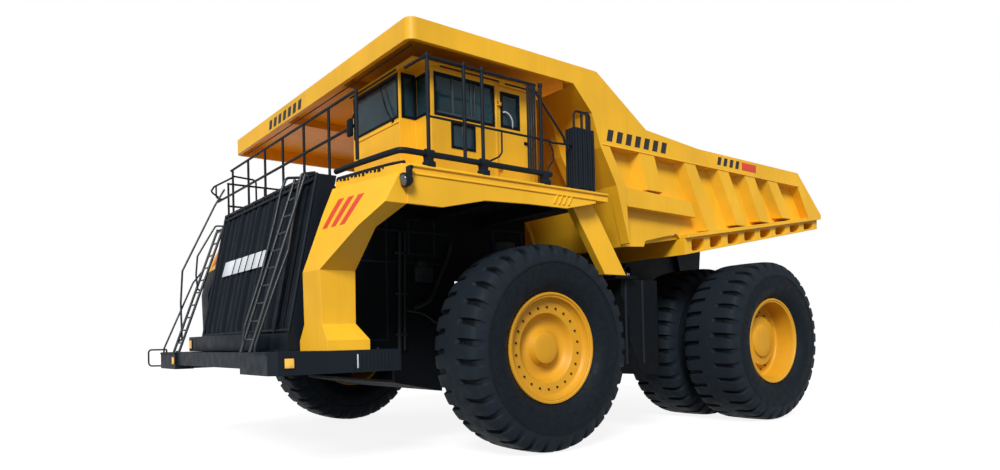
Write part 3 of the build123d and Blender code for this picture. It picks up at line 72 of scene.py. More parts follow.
# ---- materials ----
class Look:
    """A node material being built round one Principled shader."""

    def __init__(self, name):
        self.mat = bpy.data.materials.new(name)
        self.mat.use_nodes = True
        self.tree = self.mat.node_tree
        self.shader = self.tree.nodes["Principled BSDF"]

    def add(self, kind, sockets=None, **props):
        node = self.tree.nodes.new("ShaderNode" + kind)
        for key, value in props.items():
            setattr(node, key, value)
        for key, value in (sockets or {}).items():
            self.plug(value, node.inputs[key])
        return node

    def plug(self, value, socket):
        if isinstance(value, bpy.types.NodeSocket):
            self.tree.links.new(value, socket)
        elif isinstance(value, bpy.types.Node):
            self.tree.links.new(value.outputs[0], socket)
        elif isinstance(value, tuple) and len(value) == 3 and len(socket.default_value) == 4:
            socket.default_value = (*value, 1)
        else:
            socket.default_value = value

    def set(self, **values):
        for key, value in values.items():
            self.plug(value, self.shader.inputs[key.replace("_", " ")])

    def place(self, stretch=(1, 1, 1)):
        here = self.add("TexCoord").outputs["Object"]
        return self.add("Mapping", {"Vector": here, "Scale": stretch}).outputs[0]

    def noise(self, scale, detail=4, stretch=(1, 1, 1), rough=0.5):
        return self.add("TexNoise", {"Vector": self.place(stretch), "Scale": scale, "Detail": detail,
                                     "Roughness": rough}).outputs["Fac"]

    def ramp(self, value, low, high, out_low=0.0, out_high=1.0):
        return self.add("MapRange", {"Value": value, "From Min": low, "From Max": high, "To Min": out_low,
                                     "To Max": out_high}).outputs[0]

    def times(self, a, b):
        return self.add("Math", {0: a, 1: b}, operation="MULTIPLY").outputs[0]

    def mix(self, factor, a, b):
        node = self.add("Mix", data_type="RGBA")
        for index, value in ((0, factor), (6, a), (7, b)):
            self.plug(value, node.inputs[index])
        return node.outputs[2]

    def height(self):
        here = self.add("TexCoord").outputs["Object"]
        return self.add("SeparateXYZ", {0: here}).outputs[2]

    def bump(self, value, strength, distance, normal=None):
        sockets = {"Height": value, "Strength": strength, "Distance": distance}
        if normal is not None:
            sockets["Normal"] = normal
        return self.add("Bump", sockets).outputs[0]


def painted(name, colour, wear_and_painted_light, dust, rough, *, edge_width=0.004, edge=0.5, dust_top=1, dust_most=0.1, coat=0,
            shine=0.5):
    """Sprayed steel: soft mottling, run-off streaks, dust low down, and lighter edges that are part wear and
    part painted highlight.

    The lighter edge, wear with a painted highlight, reaches edge_width in from an edge and is edge strong
    there. The dust lies up to the height dust_top and is dust_most strong at the ground.
    """
    look = Look(name)
    shade = tuple(c * 0.82 for c in colour)
    body = look.mix(look.ramp(look.noise(0.55, 3), 0.35, 0.7), colour, shade)
    streaks = look.ramp(look.noise(2.2, 5, (1.6, 1.6, 0.16), 0.62), 0.5, 0.78, 0, 0.34)
    body = look.mix(streaks, body, tuple(c * 0.7 for c in colour))
    low = look.ramp(look.height(), dust_top, 0.0, 0, dust_most)
    body = look.mix(look.times(low, look.ramp(look.noise(3.1, 6), 0.3, 0.7)), body, dust)
    round_normal = look.add("Bevel", {"Radius": edge_width}, samples=4).outputs[0]
    flat = look.add("NewGeometry").outputs["Normal"]
    turn = look.add("VectorMath", {0: round_normal, 1: flat}, operation="DOT_PRODUCT").outputs["Value"]
    # lighter edges: part wear, part a painted highlight along every edge
    rim = look.ramp(turn, 0.985, 0.8, 0, edge)
    body = look.mix(look.times(rim, look.ramp(look.noise(9, 4), 0.3, 0.65)), body, wear_and_painted_light)
    look.set(Base_Color=body, Roughness=look.ramp(look.noise(5, 5), 0.3, 0.75, rough - 0.06, rough + 0.12),
             Coat_Weight=coat, Coat_Roughness=0.3, Specular_IOR_Level=shine)
    look.set(Normal=look.bump(look.noise(45, 3), 0.06, 0.01, round_normal))
    return look.mat


YELLOW = painted("yellow paint", (0.90, 0.475, 0.016), (0.98, 0.68, 0.16), (0.58, 0.33, 0.08), 0.5,
                 edge_width=0.012, dust_top=2.4, dust_most=0.3, coat=0.1, shine=0.35)
RIM_YELLOW = painted("rim paint", (0.66, 0.315, 0.010), (0.8, 0.5, 0.15), (0.42, 0.24, 0.06), 0.5,
                     edge_width=0.006, dust_top=3.2, dust_most=0.15, coat=0.05, shine=0.3)
DARK = painted("dark paint", (0.0068, 0.0112, 0.0175), (0.03, 0.045, 0.06), (0.016, 0.02, 0.024), 0.5,
               edge_width=0.008, edge=0.55, dust_top=2.2, dust_most=0.15, shine=0.14)
SOFT_BLACK = painted("black trim", (0.003, 0.006, 0.011), (0.015, 0.024, 0.034), (0.012, 0.014, 0.016), 0.55,
                     edge=0.4, shine=0.1)
# painted shade: a darker black for the parts deep under the deck, where shade falls
BAY_SHADE_BLACK = painted("engine bay painted shade", (0.0022, 0.0034, 0.005), (0.012, 0.016, 0.02), (0.008, 0.009, 0.01),
                    0.7, edge_width=0.006, edge=0.4, shine=0.1)
PALE_DARK = painted("slate trim", (0.034, 0.052, 0.066), (0.12, 0.15, 0.18), (0.05, 0.05, 0.05), 0.35,
                    edge=0.4, coat=0.15, shine=0.4)
LADDER_PAINT = painted("ladder paint", (0.012, 0.018, 0.024), (0.06, 0.08, 0.1), (0.02, 0.022, 0.024), 0.38,
                       coat=0.1, shine=0.35)
DULL = painted("dull pipe paint", (0.009, 0.012, 0.016), (0.03, 0.035, 0.04), (0.02, 0.022, 0.024), 0.55,
               edge_width=0.01, dust_top=2, dust_most=0.15, shine=0.2)
WHITE = painted("white sheeting", (0.72, 0.76, 0.80), (0.9, 0.9, 0.9), (0.4, 0.4, 0.4), 0.35,
                edge_width=0.003, edge=0.2, dust_top=2, coat=0.3)
PALE = painted("pale metal paint", (0.55, 0.62, 0.68), (0.8, 0.82, 0.84), (0.3, 0.3, 0.3), 0.35,
               edge_width=0.003, edge=0.2, dust_top=2, coat=0.4)
RED = painted("red paint", (0.72, 0.05, 0.012), (0.8, 0.15, 0.05), (0.4, 0.1, 0.05), 0.45,
              edge_width=0.002, edge=0.1, dust_top=2, coat=0.2)
PRINT_BLACK = painted("black marking paint", (0.006, 0.006, 0.007), (0.02, 0.02, 0.02), (0.03, 0.03, 0.03),
                      0.5, edge_width=0.002, edge=0.1, dust_top=2, coat=0.1)


def rubber():
    """Tyre rubber with painted shade down in the slots and lighter lugs, by the relief that tyre_mesh writes.
    """
    look = Look("tyre rubber")
    wear_and_painted_light = look.add("Attribute", attribute_name="relief", attribute_type="GEOMETRY").outputs["Fac"]
    fine = look.noise(14, 6)
    # painted shade: dark deep in the slots, lighter on the lugs
    body = look.mix(look.ramp(wear_and_painted_light, 0, 1), (0.0024, 0.004, 0.006), (0.0105, 0.0155, 0.0215))
    body = look.mix(look.ramp(fine, 0.4, 0.75, 0, 0.45), body, (0.015, 0.02, 0.026))
    look.set(Base_Color=body, Roughness=look.ramp(look.noise(6, 5), 0.3, 0.7, 0.52, 0.72),
             Specular_IOR_Level=0.08)
    look.set(Normal=look.bump(look.noise(70, 5), 0.22, 0.006))
    return look.mat


def metal(name, colour, rough):
    """Polished metal with fine upright brushing."""
    look = Look(name)
    body = look.mix(look.ramp(look.noise(6, 4), 0.35, 0.7), colour, tuple(c * 0.75 for c in colour))
    brushed = look.noise(90, 3, (1, 1, 0.1))
    look.set(Base_Color=body, Metallic=1.0, Roughness=look.ramp(brushed, 0.3, 0.7, rough, rough + 0.12))
    look.set(Normal=look.bump(brushed, 0.05, 0.002))
    return look.mat


def tinted():
    """Cab glass, tinted dark but thin enough to show what is behind it."""
    look = Look("tinted glass")
    tint = look.mix(look.ramp(look.noise(1.1, 3), 0.35, 0.7), (0.008, 0.03, 0.042), (0.03, 0.078, 0.098))
    look.set(Base_Color=tint, Roughness=look.ramp(look.noise(4, 4), 0.3, 0.8, 0.03, 0.09), Alpha=0.7,
             Specular_IOR_Level=0.35, Coat_Weight=0.1, Coat_Roughness=0.04)
    return look.mat


def lens(name, colour, glow):
    """Moulded lamp lens with fine upright flutes."""
    look = Look(name)
    body = look.mix(look.ramp(look.noise(9, 3), 0.35, 0.7), colour, tuple(c * 0.7 for c in colour))
    flutes = look.add("TexWave", {"Vector": look.place(), "Scale": 40.0, "Distortion": 0.3}).outputs["Fac"]
    look.set(Base_Color=body, Roughness=0.22, Coat_Weight=0.6, Emission_Color=body, Emission_Strength=glow)
    look.set(Normal=look.bump(flutes, 0.25, 0.004))
    return look.mat


def fabric():
    """Woven seat cover: two crossed thread waves over soft shading."""
    look = Look("seat fabric")
    warp = look.add("TexWave", {"Vector": look.place(), "Scale": 110.0}, bands_direction="X").outputs["Fac"]
    weft = look.add("TexWave", {"Vector": look.place(), "Scale": 110.0}, bands_direction="Z").outputs["Fac"]
    weave = look.times(warp, weft)
    body = look.mix(weave, (0.012, 0.014, 0.018), (0.05, 0.055, 0.065))
    body = look.mix(look.ramp(look.noise(12, 5), 0.4, 0.75, 0, 0.4), body, (0.075, 0.075, 0.08))
    look.set(Base_Color=body, Roughness=0.85, Sheen_Weight=0.35, Sheen_Roughness=0.5)
    look.set(Normal=look.bump(weave, 0.35, 0.002))
    return look.mat


RUBBER = rubber()
FABRIC = fabric()
AMBER = lens("amber lens", (0.95, 0.5, 0.06), 0.12)
RED_LENS = lens("red lens", (0.5, 0.02, 0.015), 0.05)
LENS = lens("clear lens", (0.05, 0.07, 0.09), 0.0)
CHROME = metal("hard chrome", (0.62, 0.64, 0.67), 0.16)
GLASS = tinted()

SLOT_LOOKS = {"yellow_paint": YELLOW, "black_paint": DARK, "rod_chrome": CHROME, "tyre_rubber": RUBBER,
              "window_glass": GLASS, "seat_fabric": FABRIC}
# these parts deep under the deck take the darker black of painted shade
BAY_NODES = ("engine_covers", "deck_frame", "engine_block", "fuel_tank", "hydraulic_tank", "cross_members")
NODE_LOOKS = {"ladders": LADDER_PAINT, **dict.fromkeys(BAY_NODES, BAY_SHADE_BLACK)}
PIECE_SLOTS = {look: slot for slot, look in SLOT_LOOKS.items()}         # the other looks have no slot
PIECE_SLOTS.update({RIM_YELLOW: "yellow_paint", LENS: "window_glass",
                    **dict.fromkeys((SOFT_BLACK, PALE_DARK, DULL), "black_paint")})


def dress_cad():
    """Gives every CAD node its look: its own where it has one, and otherwise that of its slot."""
    for part in frame["record"]["subparts"]:
        mesh = NODES[part["node"]].data
        mesh.materials.clear()
        mesh.materials.append(NODE_LOOKS.get(part["node"], SLOT_LOOKS[part["material_slot"]]))


dress_cad()


# ---- shaping ----
class Piece:
    """One mesh made of several shapes, which becomes one object riding on a body."""

    def __init__(self, name, body, look):
        self.name, self.body, self.look = name, body, look
        self.mesh = bmesh.new()

    def soften(self, verts, bevel):
        """Rounds every edge at the verts."""
        if bevel:
            edges = list({e for v in verts for e in v.link_edges})
            bmesh.ops.bevel(self.mesh, geom=edges, offset=bevel, segments=2, affect="EDGES", profile=0.5)

    def block(self, lo, hi, bevel=0.01, turn=None):
        """Box between two corners, its edges rounded, turned about its middle."""
        low, high = at(*lo), at(*hi)
        made = bmesh.ops.create_cube(self.mesh, size=1)["verts"]
        for v in made:
            v.co = Vector(a * b for a, b in zip(v.co, high - low))
            if turn:
                v.co = turn @ v.co
            v.co += (low + high) / 2
        self.soften(made, bevel)

    def prism(self, outline, depth, bevel=0.008):
        """Solid from an outline's points, in order round it, pushed along depth."""
        near = [self.mesh.verts.new(at(*p)) for p in outline]
        far = [self.mesh.verts.new(v.co + Vector(depth)) for v in near]
        self.mesh.faces.new(near[::-1])
        self.mesh.faces.new(far)
        for i in range(len(near)):
            j = (i + 1) % len(near)
            self.mesh.faces.new((near[i], near[j], far[j], far[i]))
        self.soften(near + far, bevel)

    def border(self, corners, out, inward, depth, bevel=0.004):
        """Flat frame round the four corners of an opening, out and inward wide, pushed along depth."""
        c = [at(*p) for p in corners]
        u, v = (c[1] - c[0]).normalized(), (c[3] - c[0]).normalized()
        signs = ((-1, -1), (1, -1), (1, 1), (-1, 1))
        rings = []
        for push in (Vector((0, 0, 0)), Vector(depth)):
            for grow in (out, -inward):
                rings.append([self.mesh.verts.new(p + push + (a * u + b * v) * grow)
                              for p, (a, b) in zip(c, signs)])
        outer, inner, outer_far, inner_far = rings
        for i in range(4):
            j = (i + 1) % 4
            for a, b in ((outer, inner), (inner, inner_far), (inner_far, outer_far), (outer_far, outer)):
                self.mesh.faces.new((a[i], a[j], b[j], b[i]))
        self.soften([v for ring in rings for v in ring], bevel)

    def tube(self, points, radius, sides=10, rounds=2):
        """Round bar along points, its corners rounded and its ends domed."""
        path = [at(*p) for p in points]
        for _ in range(rounds if len(path) > 2 else 0):
            cut = [path[0]]
            for a, b in zip(path, path[1:]):
                cut += [a.lerp(b, 0.25), a.lerp(b, 0.75)]
            path = cut + [path[-1]]
        way = [(b - a).normalized() for a, b in zip(path, path[1:])]
        way = [way[0]] + [(a + b).normalized() for a, b in zip(way, way[1:])] + [way[-1]]
        side = way[0].orthogonal().normalized()
        path = [path[0] - way[0] * radius * 0.3, *path, path[-1] + way[-1] * radius * 0.3]
        way, shares = [way[0], *way, way[-1]], [0.7] + [1.0] * (len(path) - 2) + [0.7]
        rings = []
        for p, w, share in zip(path, way, shares):
            side = (side - w * side.dot(w)).normalized()
            up = w.cross(side)
            rings.append([self.mesh.verts.new(p + radius * share * (math.cos(t) * side + math.sin(t) * up))
                          for t in (2 * math.pi * k / sides for k in range(sides))])
        for a, b in zip(rings, rings[1:]):
            for i in range(sides):
                j = (i + 1) % sides
                self.mesh.faces.new((a[i], a[j], b[j], b[i]))
        self.mesh.faces.new(rings[0][::-1])
        self.mesh.faces.new(rings[-1])

    def lathe(self, profile, place, along=(1, 0, 0), steps=96, turn=0.0):
        """Ring from (offset along the axis, radius) points, closed on itself, about an axis at place."""
        along = Vector(along).normalized()
        side = along.orthogonal().normalized()
        up = along.cross(side)
        centre = at(*place)
        rings = []
        for k in range(steps):
            t = 2 * math.pi * k / steps + turn
            out = math.cos(t) * side + math.sin(t) * up
            rings.append([self.mesh.verts.new(centre + along * a + out * r) for a, r in profile])
        count = len(profile)
        for k in range(steps):
            a, b = rings[k], rings[(k + 1) % steps]
            for i in range(count):
                j = (i + 1) % count
                if profile[i][1] > 0 or profile[j][1] > 0:
                    self.mesh.faces.new((a[i], a[j], b[j], b[i]))

    def stud(self, place, along, radius, height, sides=6):
        """Bolt head, its outer edge broken and its foot a little sunk."""
        side = [(-0.004, 0), (-0.004, radius), (0.75 * height, radius), (height, 0.8 * radius), (height, 0)]
        self.lathe(side, place, along, sides)

    def done(self, sharp=32, replaces=()):
        """Cleans the mesh and shows it as one object, with edges over sharp degrees left sharp."""
        bmesh.ops.remove_doubles(self.mesh, verts=self.mesh.verts, dist=1e-5)
        flat = [f for f in self.mesh.faces if f.calc_area() < 1e-12]
        bmesh.ops.delete(self.mesh, geom=flat, context="FACES_ONLY")
        bmesh.ops.recalc_face_normals(self.mesh, faces=self.mesh.faces)
        data = bpy.data.meshes.new(self.name)
        self.mesh.to_mesh(data)
        self.mesh.free()
        return show(self.name, data, self.look, self.body, sharp, replaces)


def show(name, data, look, body, sharp=32, replaces=()):
    """Object for a finished mesh, on its body and with its look."""
    data.shade_smooth()
    data.set_sharp_from_angle(angle=math.radians(sharp))
    data.materials.clear()
    data.materials.append(look)
    piece = bpy.data.objects.new(name, data)
    bpy.context.scene.collection.objects.link(piece)
    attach(piece, body)
    if replaces:
        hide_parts(*replaces)
    return piece


SIDES = (("left", 1), ("right", -1))      # and the sign of x there

# ---- tyres ----
SLOTS_ROUND = 34                # lug slots round each shoulder
SLOT_DEPTH = 0.065
SLOT_HALF = 0.19                # half width of a slot, in slot pitches
SLOT_NARROW = 0.62              # share of that width at the middle of the tread
SLOT_WIDEN = 0.5                # how much that share grows towards the side
SLOT_LEAN = 0.16                # how far a slot's outer end leans round, in pitches
LUG_REACH = 0.34                # how far in from the tread the slots show
SMOOTH_BAND = 0.17              # half width of the plain band round the middle of the tread
SIDE_RELIEF = 0.45              # shade of the walls between that of a slot, 0, and a lug, 1
BEAD_R = 0.986
SLOT_COLUMNS = (                # place across one pitch, share of the slot's depth
    (0.0, 0), (0.16, 0), (0.31, 0), (0.345, 0.5), (0.375, 1), (0.44, 1),
    (0.5, 1), (0.56, 1), (0.625, 1), (0.655, 0.5), (0.69, 0), (0.84, 0))


def tyre_rows(width, r):
    """Half section of a tyre from its middle to its bead: offset, radius, slot share."""
    w = width / 2
    return (
        (0.06, r, 0), (SMOOTH_BAND, r - 0.002, 0), (SMOOTH_BAND + 0.03, r - 0.003, 0.4),
        (SMOOTH_BAND + 0.055, r - 0.004, 0.95), (w - 0.34, r - 0.007, 1), (w - 0.26, r - 0.012, 1),
        (w - 0.19, r - 0.024, 1), (w - 0.135, r - 0.045, 0.95), (w - 0.095, r - 0.08, 0.78),
        (w - 0.065, r - 0.13, 0.55), (w - 0.045, r - 0.19, 0.32), (w - 0.03, r - 0.25, 0.14),
        (w - 0.02, r - 0.3, 0.04), (w - 0.016, r - 0.33, 0), (w - 0.014, r - 0.345, 0),
        (w - 0.002, r - 0.352, 0), (w - 0.002, r - 0.372, 0), (w - 0.012, r - 0.38, 0),
        (w - 0.004, r - 0.46, 0), (w, r - 0.55, 0), (w - 0.006, BEAD_R + 0.31, 0),
        (w - 0.03, BEAD_R + 0.24, 0), (w - 0.07, BEAD_R + 0.17, 0), (w - 0.12, BEAD_R + 0.115, 0),
        (w - 0.165, BEAD_R + 0.08, 0), (w - 0.17, BEAD_R + 0.066, 0), (w - 0.19, BEAD_R + 0.058, 0),
        (w - 0.2, BEAD_R + 0.03, 0), (w - 0.2, BEAD_R, 0))


def squeezed(place, narrow):
    """Place across one pitch when its slot is that much narrower."""
    off = place - 0.5
    if abs(off) <= SLOT_HALF:
        return 0.5 + off * narrow
    rest = (abs(off) - SLOT_HALF) / (0.5 - SLOT_HALF)
    return 0.5 + math.copysign(SLOT_HALF * narrow + rest * (0.5 - SLOT_HALF * narrow), off)


def tyre_mesh(mesh, relief, x, y, width, side):
    """Adds one tyre with lug slots over both shoulders, half a pitch apart."""
    half = tyre_rows(width, TYRE_R)
    rows = [(-a, r, s) for a, r, s in reversed(half)] + list(half)
    pitch = 2 * math.pi / SLOTS_ROUND
    grid = []
    for i, (a, r, share) in enumerate(rows):
        before, after = rows[max(i - 1, 0)], rows[min(i + 1, len(rows) - 1)]
        normal = Vector((after[0] - before[0], after[1] - before[1])).orthogonal().normalized()
        inward = -normal if normal.y * r + normal.x * a > 0 else normal
        out = abs(a) / (width / 2)
        narrow = SLOT_NARROW + SLOT_WIDEN * min(1, out)
        lean = SLOT_LEAN * out ** 2 - (0.5 if a < 0 else 0)
        lugged = abs(a) < width / 2 - 0.012 and r > TYRE_R - LUG_REACH
        ring = []
        for k in range(SLOTS_ROUND):
            for place, deep in SLOT_COLUMNS:
                angle = (k + squeezed(place, narrow) + lean) * pitch
                sunk = SLOT_DEPTH * share * deep
                offset, radius = a + inward.x * sunk, r + inward.y * sunk
                v = mesh.verts.new((side * (x + offset), y + radius * math.cos(angle),
                                    TYRE_R + radius * math.sin(angle)))
                # the relief sets the painted shade: 0 deep in a slot, 1 on a lug, SIDE_RELIEF on the walls
                v[relief] = 1 - share * deep if lugged else SIDE_RELIEF
                ring.append(v)
        grid.append(ring)
    for a, b in zip(grid, grid[1:] + grid[:1]):
        for i in range(len(a)):
            j = (i + 1) % len(a)
            mesh.faces.new((a[i], a[j], b[j], b[i]))


def tyres(name, body, node, places, y, width, side):
    """One piece with a tyre at each of the places, in the stead of a CAD node."""
    mesh = bmesh.new()
    relief = mesh.verts.layers.float.new("relief")
    for x in places:
        tyre_mesh(mesh, relief, x, y, width, side)
    bmesh.ops.recalc_face_normals(mesh, faces=mesh.faces)
    data = bpy.data.meshes.new(name)
    mesh.to_mesh(data)
    mesh.free()
    show(name, data, RUBBER, body, 38, (node,))


FRONT_WIDTH = TYRE_HI.x - TYRE_LO.x
FRONT_X = (TYRE_HI.x + TYRE_LO.x) / 2
TWIN_STEP = 1.81                # from the middle of the inner rear tyre to that of the outer one
REAR_WIDTH = REAR_HI.x - REAR_LO.x - TWIN_STEP
REAR_X = REAR_HI.x - REAR_WIDTH / 2

for side, sign in SIDES:
    tyres(f"front_tread_{side}", f"front_wheel_{side}", f"front_tyre_{side}", (FRONT_X,), AXLE_Y,
          FRONT_WIDTH, sign)
    tyres(f"rear_treads_{side}", f"rear_wheels_{side}", f"rear_tyres_{side}", (REAR_X - TWIN_STEP, REAR_X),
          REAR_Y, REAR_WIDTH, sign)

# ---- rims ----
# (offset from the tyre's middle, radius), from the bead seat over the flange and face to the hub and back
FRONT_RIM = (
    (-0.475, 0.925), (-0.475, 0.985), (0.475, 0.985), (0.475, 1.03), (0.5, 1.036), (0.525, 1.024),
    (0.525, 0.99), (0.5, 0.972), (0.505, 0.955), (0.494, 0.938), (0.45, 0.928), (0.41, 0.908),
    (0.394, 0.885), (0.372, 0.872), (0.36, 0.80), (0.352, 0.69), (0.345, 0.655), (0.32, 0.632),
    (0.25, 0.60), (0.195, 0.555), (0.172, 0.50), (0.167, 0.46), (0.175, 0.405), (0.205, 0.35),
    (0.27, 0.312), (0.32, 0.285), (0.337, 0.24), (0.345, 0.14), (0.348, 0), (0.328, 0), (0.328, 0.25),
    (-0.25, 0.25), (-0.25, 0.38), (0.06, 0.4), (0.06, 0.68), (0.3, 0.925))
REAR_RIM = (
    (-2.36, 0.925), (-2.36, 0.985), (0.55, 0.985), (0.55, 1.03), (0.575, 1.036), (0.6, 1.024),
    (0.6, 0.99), (0.577, 0.972), (0.581, 0.955), (0.57, 0.938), (0.525, 0.928), (0.25, 0.918),
    (0.125, 0.905), (0.095, 0.88), (0.082, 0.80), (0.08, 0.69), (0.088, 0.645), (0.12, 0.62),
    (0.20, 0.612), (0.24, 0.595), (0.25, 0.55), (0.25, 0.45), (0.262, 0.41), (0.30, 0.395),
    (0.32, 0.36), (0.325, 0.2), (0.327, 0), (0.215, 0), (0.215, 0.43), (-2.26, 0.43), (-2.26, 0.52),
    (0, 0.52), (0, 0.925))
BOLTS_ROUND, BOLT_R, BOLT_HIGH = 22, 0.021, 0.026
RIMS = (  # body, CAD node, profile, x and y of the tyre's middle, bolt circle, bolts' offset from that middle
    ("front_wheel", "front_rim", FRONT_RIM, FRONT_X, AXLE_Y, 0.765, 0.357),
    ("rear_wheels", "rear_rim", REAR_RIM, REAR_X, REAR_Y, 0.745, 0.082))

for side, sign in SIDES:
    for body, node, profile, x, y, circle, offset in RIMS:
        rim = Piece(f"{node}_face_{side}", f"{body}_{side}", RIM_YELLOW)
        rim.lathe(profile, (sign * x, y - AXLE_Y, 0), (sign, 0, 0), 128)
        rim.done(30, (f"{node}_{side}",))
        heads = Piece(f"{body}_bolts_{side}", f"{body}_{side}", DARK)
        for k in range(BOLTS_ROUND):
            t = 2 * math.pi * (k + 0.5) / BOLTS_ROUND
            place = (sign * (x + offset), y - AXLE_Y + circle * math.cos(t), circle * math.sin(t))
            heads.stud(place, (sign, 0, 0), BOLT_R, BOLT_HIGH)
        heads.done()

# ---- radiator ----
GRILLE_FOOT, GRILLE_HEAD = Vector((0, -4.14, 0.38)), Vector((0, -3.57, 3.18))
GRILLE_OUT = Vector((1, 0, 0)).cross(GRILLE_HEAD - GRILLE_FOOT).normalized()
GRILLE_X = (-2.5, 2.0)
GRILLE_EDGE = 2.56              # x of the upright tubes at the radiator's sides
PLEATS, PLEAT_STEPS, PLEAT_ROWS = 13, 8, 28
PLEAT_TOP = 0.985               # share of the face's height where the pleats end


def on_grille(x, share, out):
    """Place in front of the leaning radiator face: share 0 at its foot and 1 at its head."""
    p = GRILLE_FOOT.lerp(GRILLE_HEAD, share) + GRILLE_OUT * out
    return (x, p.y, p.z)


def grille():
    """Upright rounded pleats, a little uneven, down the radiator's face, with a rim folded back into it."""
    piece = Piece("radiator_pleats", "chassis", SOFT_BLACK)
    columns, rows = PLEATS * PLEAT_STEPS, PLEAT_ROWS
    verts = []
    for j in range(-1, rows + 2):
        share = min(max(j, 0), rows) / rows * PLEAT_TOP
        line = []
        for i in range(-1, columns + 2):
            inside = 0 <= i <= columns and 0 <= j <= rows
            place = min(max(i, 0), columns) / PLEAT_STEPS
            pleat = abs(math.sin(math.pi * place)) ** 0.6
            tall = 0.05 + 0.018 * math.sin(2.3 * int(place) + 1.1)
            wave = 0.009 * math.sin(7 * share + 1.7 * int(place)) * math.sin(math.pi * share)
            x = GRILLE_X[0] + (GRILLE_X[1] - GRILLE_X[0]) * place / PLEATS + wave
            out = 0.012 + tall * pleat * min(1, 12 * share + 0.3, 12 * (1 - share) + 0.2) if inside else -0.01
            line.append(piece.mesh.verts.new(at(*on_grille(x, share, out))))
        verts.append(line)
    for a, b in zip(verts, verts[1:]):
        for i in range(len(a) - 1):
            piece.mesh.faces.new((a[i], a[i + 1], b[i + 1], b[i]))
    piece.done(60)


grille()

frame_bars = Piece("radiator_frame", "chassis", DARK)
for share, out, radius in ((0.995, 0.06, 0.032), (0.955, 0.07, 0.024), (0.012, 0.05, 0.03)):
    frame_bars.tube([on_grille(-GRILLE_EDGE, share, out), on_grille(GRILLE_EDGE, share, out)], radius)
for x, out, radius in ((-GRILLE_EDGE, 0.05, 0.035), (2.03, 0.09, 0.03), (GRILLE_EDGE + 0.02, 0.03, 0.03)):
    frame_bars.tube([on_grille(x, 0.0, out), on_grille(x, 1.0, out)], radius)
for k in range(9):
    x = -2.3 + k * 0.58
    frame_bars.block(on_grille(x - 0.03, 0.945, 0.03), on_grille(x + 0.03, 1.0, 0.09), 0.006)
frame_bars.block((-2.25, -4.575, 0.075), (2.02, -4.505, 0.385), 0.014)
frame_bars.done()

side_sheet = Piece("radiator_side_sheet", "chassis", SOFT_BLACK)
for k in range(4):
    x = 2.1 + 0.12 * k
    outline = [on_grille(x, 0.01, 0.0), on_grille(x + 0.1, 0.01, 0.0), on_grille(x + 0.07, 0.97, 0.0),
               on_grille(x - 0.01, 0.97, 0.0)]
    side_sheet.prism(outline, GRILLE_OUT * (0.035 + 0.012 * (k % 2)), 0.014)
side_sheet.done()

WHITE_BAND = (0.464, 0.578)     # shares of the grille's height
BAND_CELLS = [(-1.84, 0.66)] + [(-1.1 + 0.41 * k, 0.33) for k in range(5)]      # x, width
BAND_SLANT, BAND_OUT = 0.09, 0.084
band_plates = Piece("reflective_band", "chassis", WHITE)
for x, wide in BAND_CELLS:
    edges = ((x, x + wide), (x + wide + BAND_SLANT, x + BAND_SLANT))
    outline = [on_grille(x, share, BAND_OUT) for share, pair in zip(WHITE_BAND, edges) for x in pair]
    band_plates.prism(outline, GRILLE_OUT * 0.008, 0.003)
band_plates.done()

# ---- bumper ----
BUMPER_X, BUMPER_Y = 3.65, -4.88
MARKERS = (  # middle of the lens, half size across, out of the face
    ((BUMPER_X, -4.58, -0.12), (0, 0.075, 0.075), (0.02, 0, 0)),
    ((-BUMPER_X, -4.58, -0.12), (0, 0.075, 0.075), (-0.02, 0, 0)),
    ((-2.30, BUMPER_Y, -0.12), (0.075, 0, 0.075), (0, -0.02, 0)),
    ((-2.08, -4.575, 0.225), (0.085, 0, 0.085), (0, -0.02, 0)))
lenses = Piece("marker_lenses", "chassis", AMBER)
holders = Piece("marker_frames", "chassis", DARK)
for middle, half, out in MARKERS:
    m, h, o = Vector(middle), Vector(half), Vector(out)
    lenses.block(m - h, m + h + o, 0.006)
    across = Vector((1, 0, 0)) if half[0] else Vector((0, 1, 0))
    a, b = across * max(half[0], half[1]), Vector((0, 0, half[2]))
    holders.border([m - a - b, m + a - b, m + a + b, m - a + b], 0.016, -0.001, o * 0.7)
lenses.done()
holders.done()

trim = Piece("bumper_trim", "chassis", DARK)
for sign in (1, -1):
    for y in (-3.5, -3.38):
        trim.block((sign * BUMPER_X, y, -0.27), (sign * (BUMPER_X + 0.014), y + 0.03, 0.02), 0.005)
    trim.block((sign * 2.2, BUMPER_Y - 0.012, 0.02), (sign * (BUMPER_X - 0.13), BUMPER_Y, 0.045), 0.004)
    for k in range(8):
        y = -3.3 + 0.07 * k
        trim.block((sign * BUMPER_X, y, -0.26), (sign * (BUMPER_X + 0.008), y + 0.03, 0.0), 0.003)
    for y in (-4.6, -3.7, -2.8):
        trim.stud((sign * 3.2, y, 0.06), (0, 0, 1), 0.03, 0.03)
trim.done()

bars = Piece("bumper_slot_strips", "chassis", PALE)
for sign in (1, -1):
    bars.block((sign * BUMPER_X, -3.43, -0.24), (sign * (BUMPER_X + 0.012), -3.405, -0.01), 0.004)
bars.done()

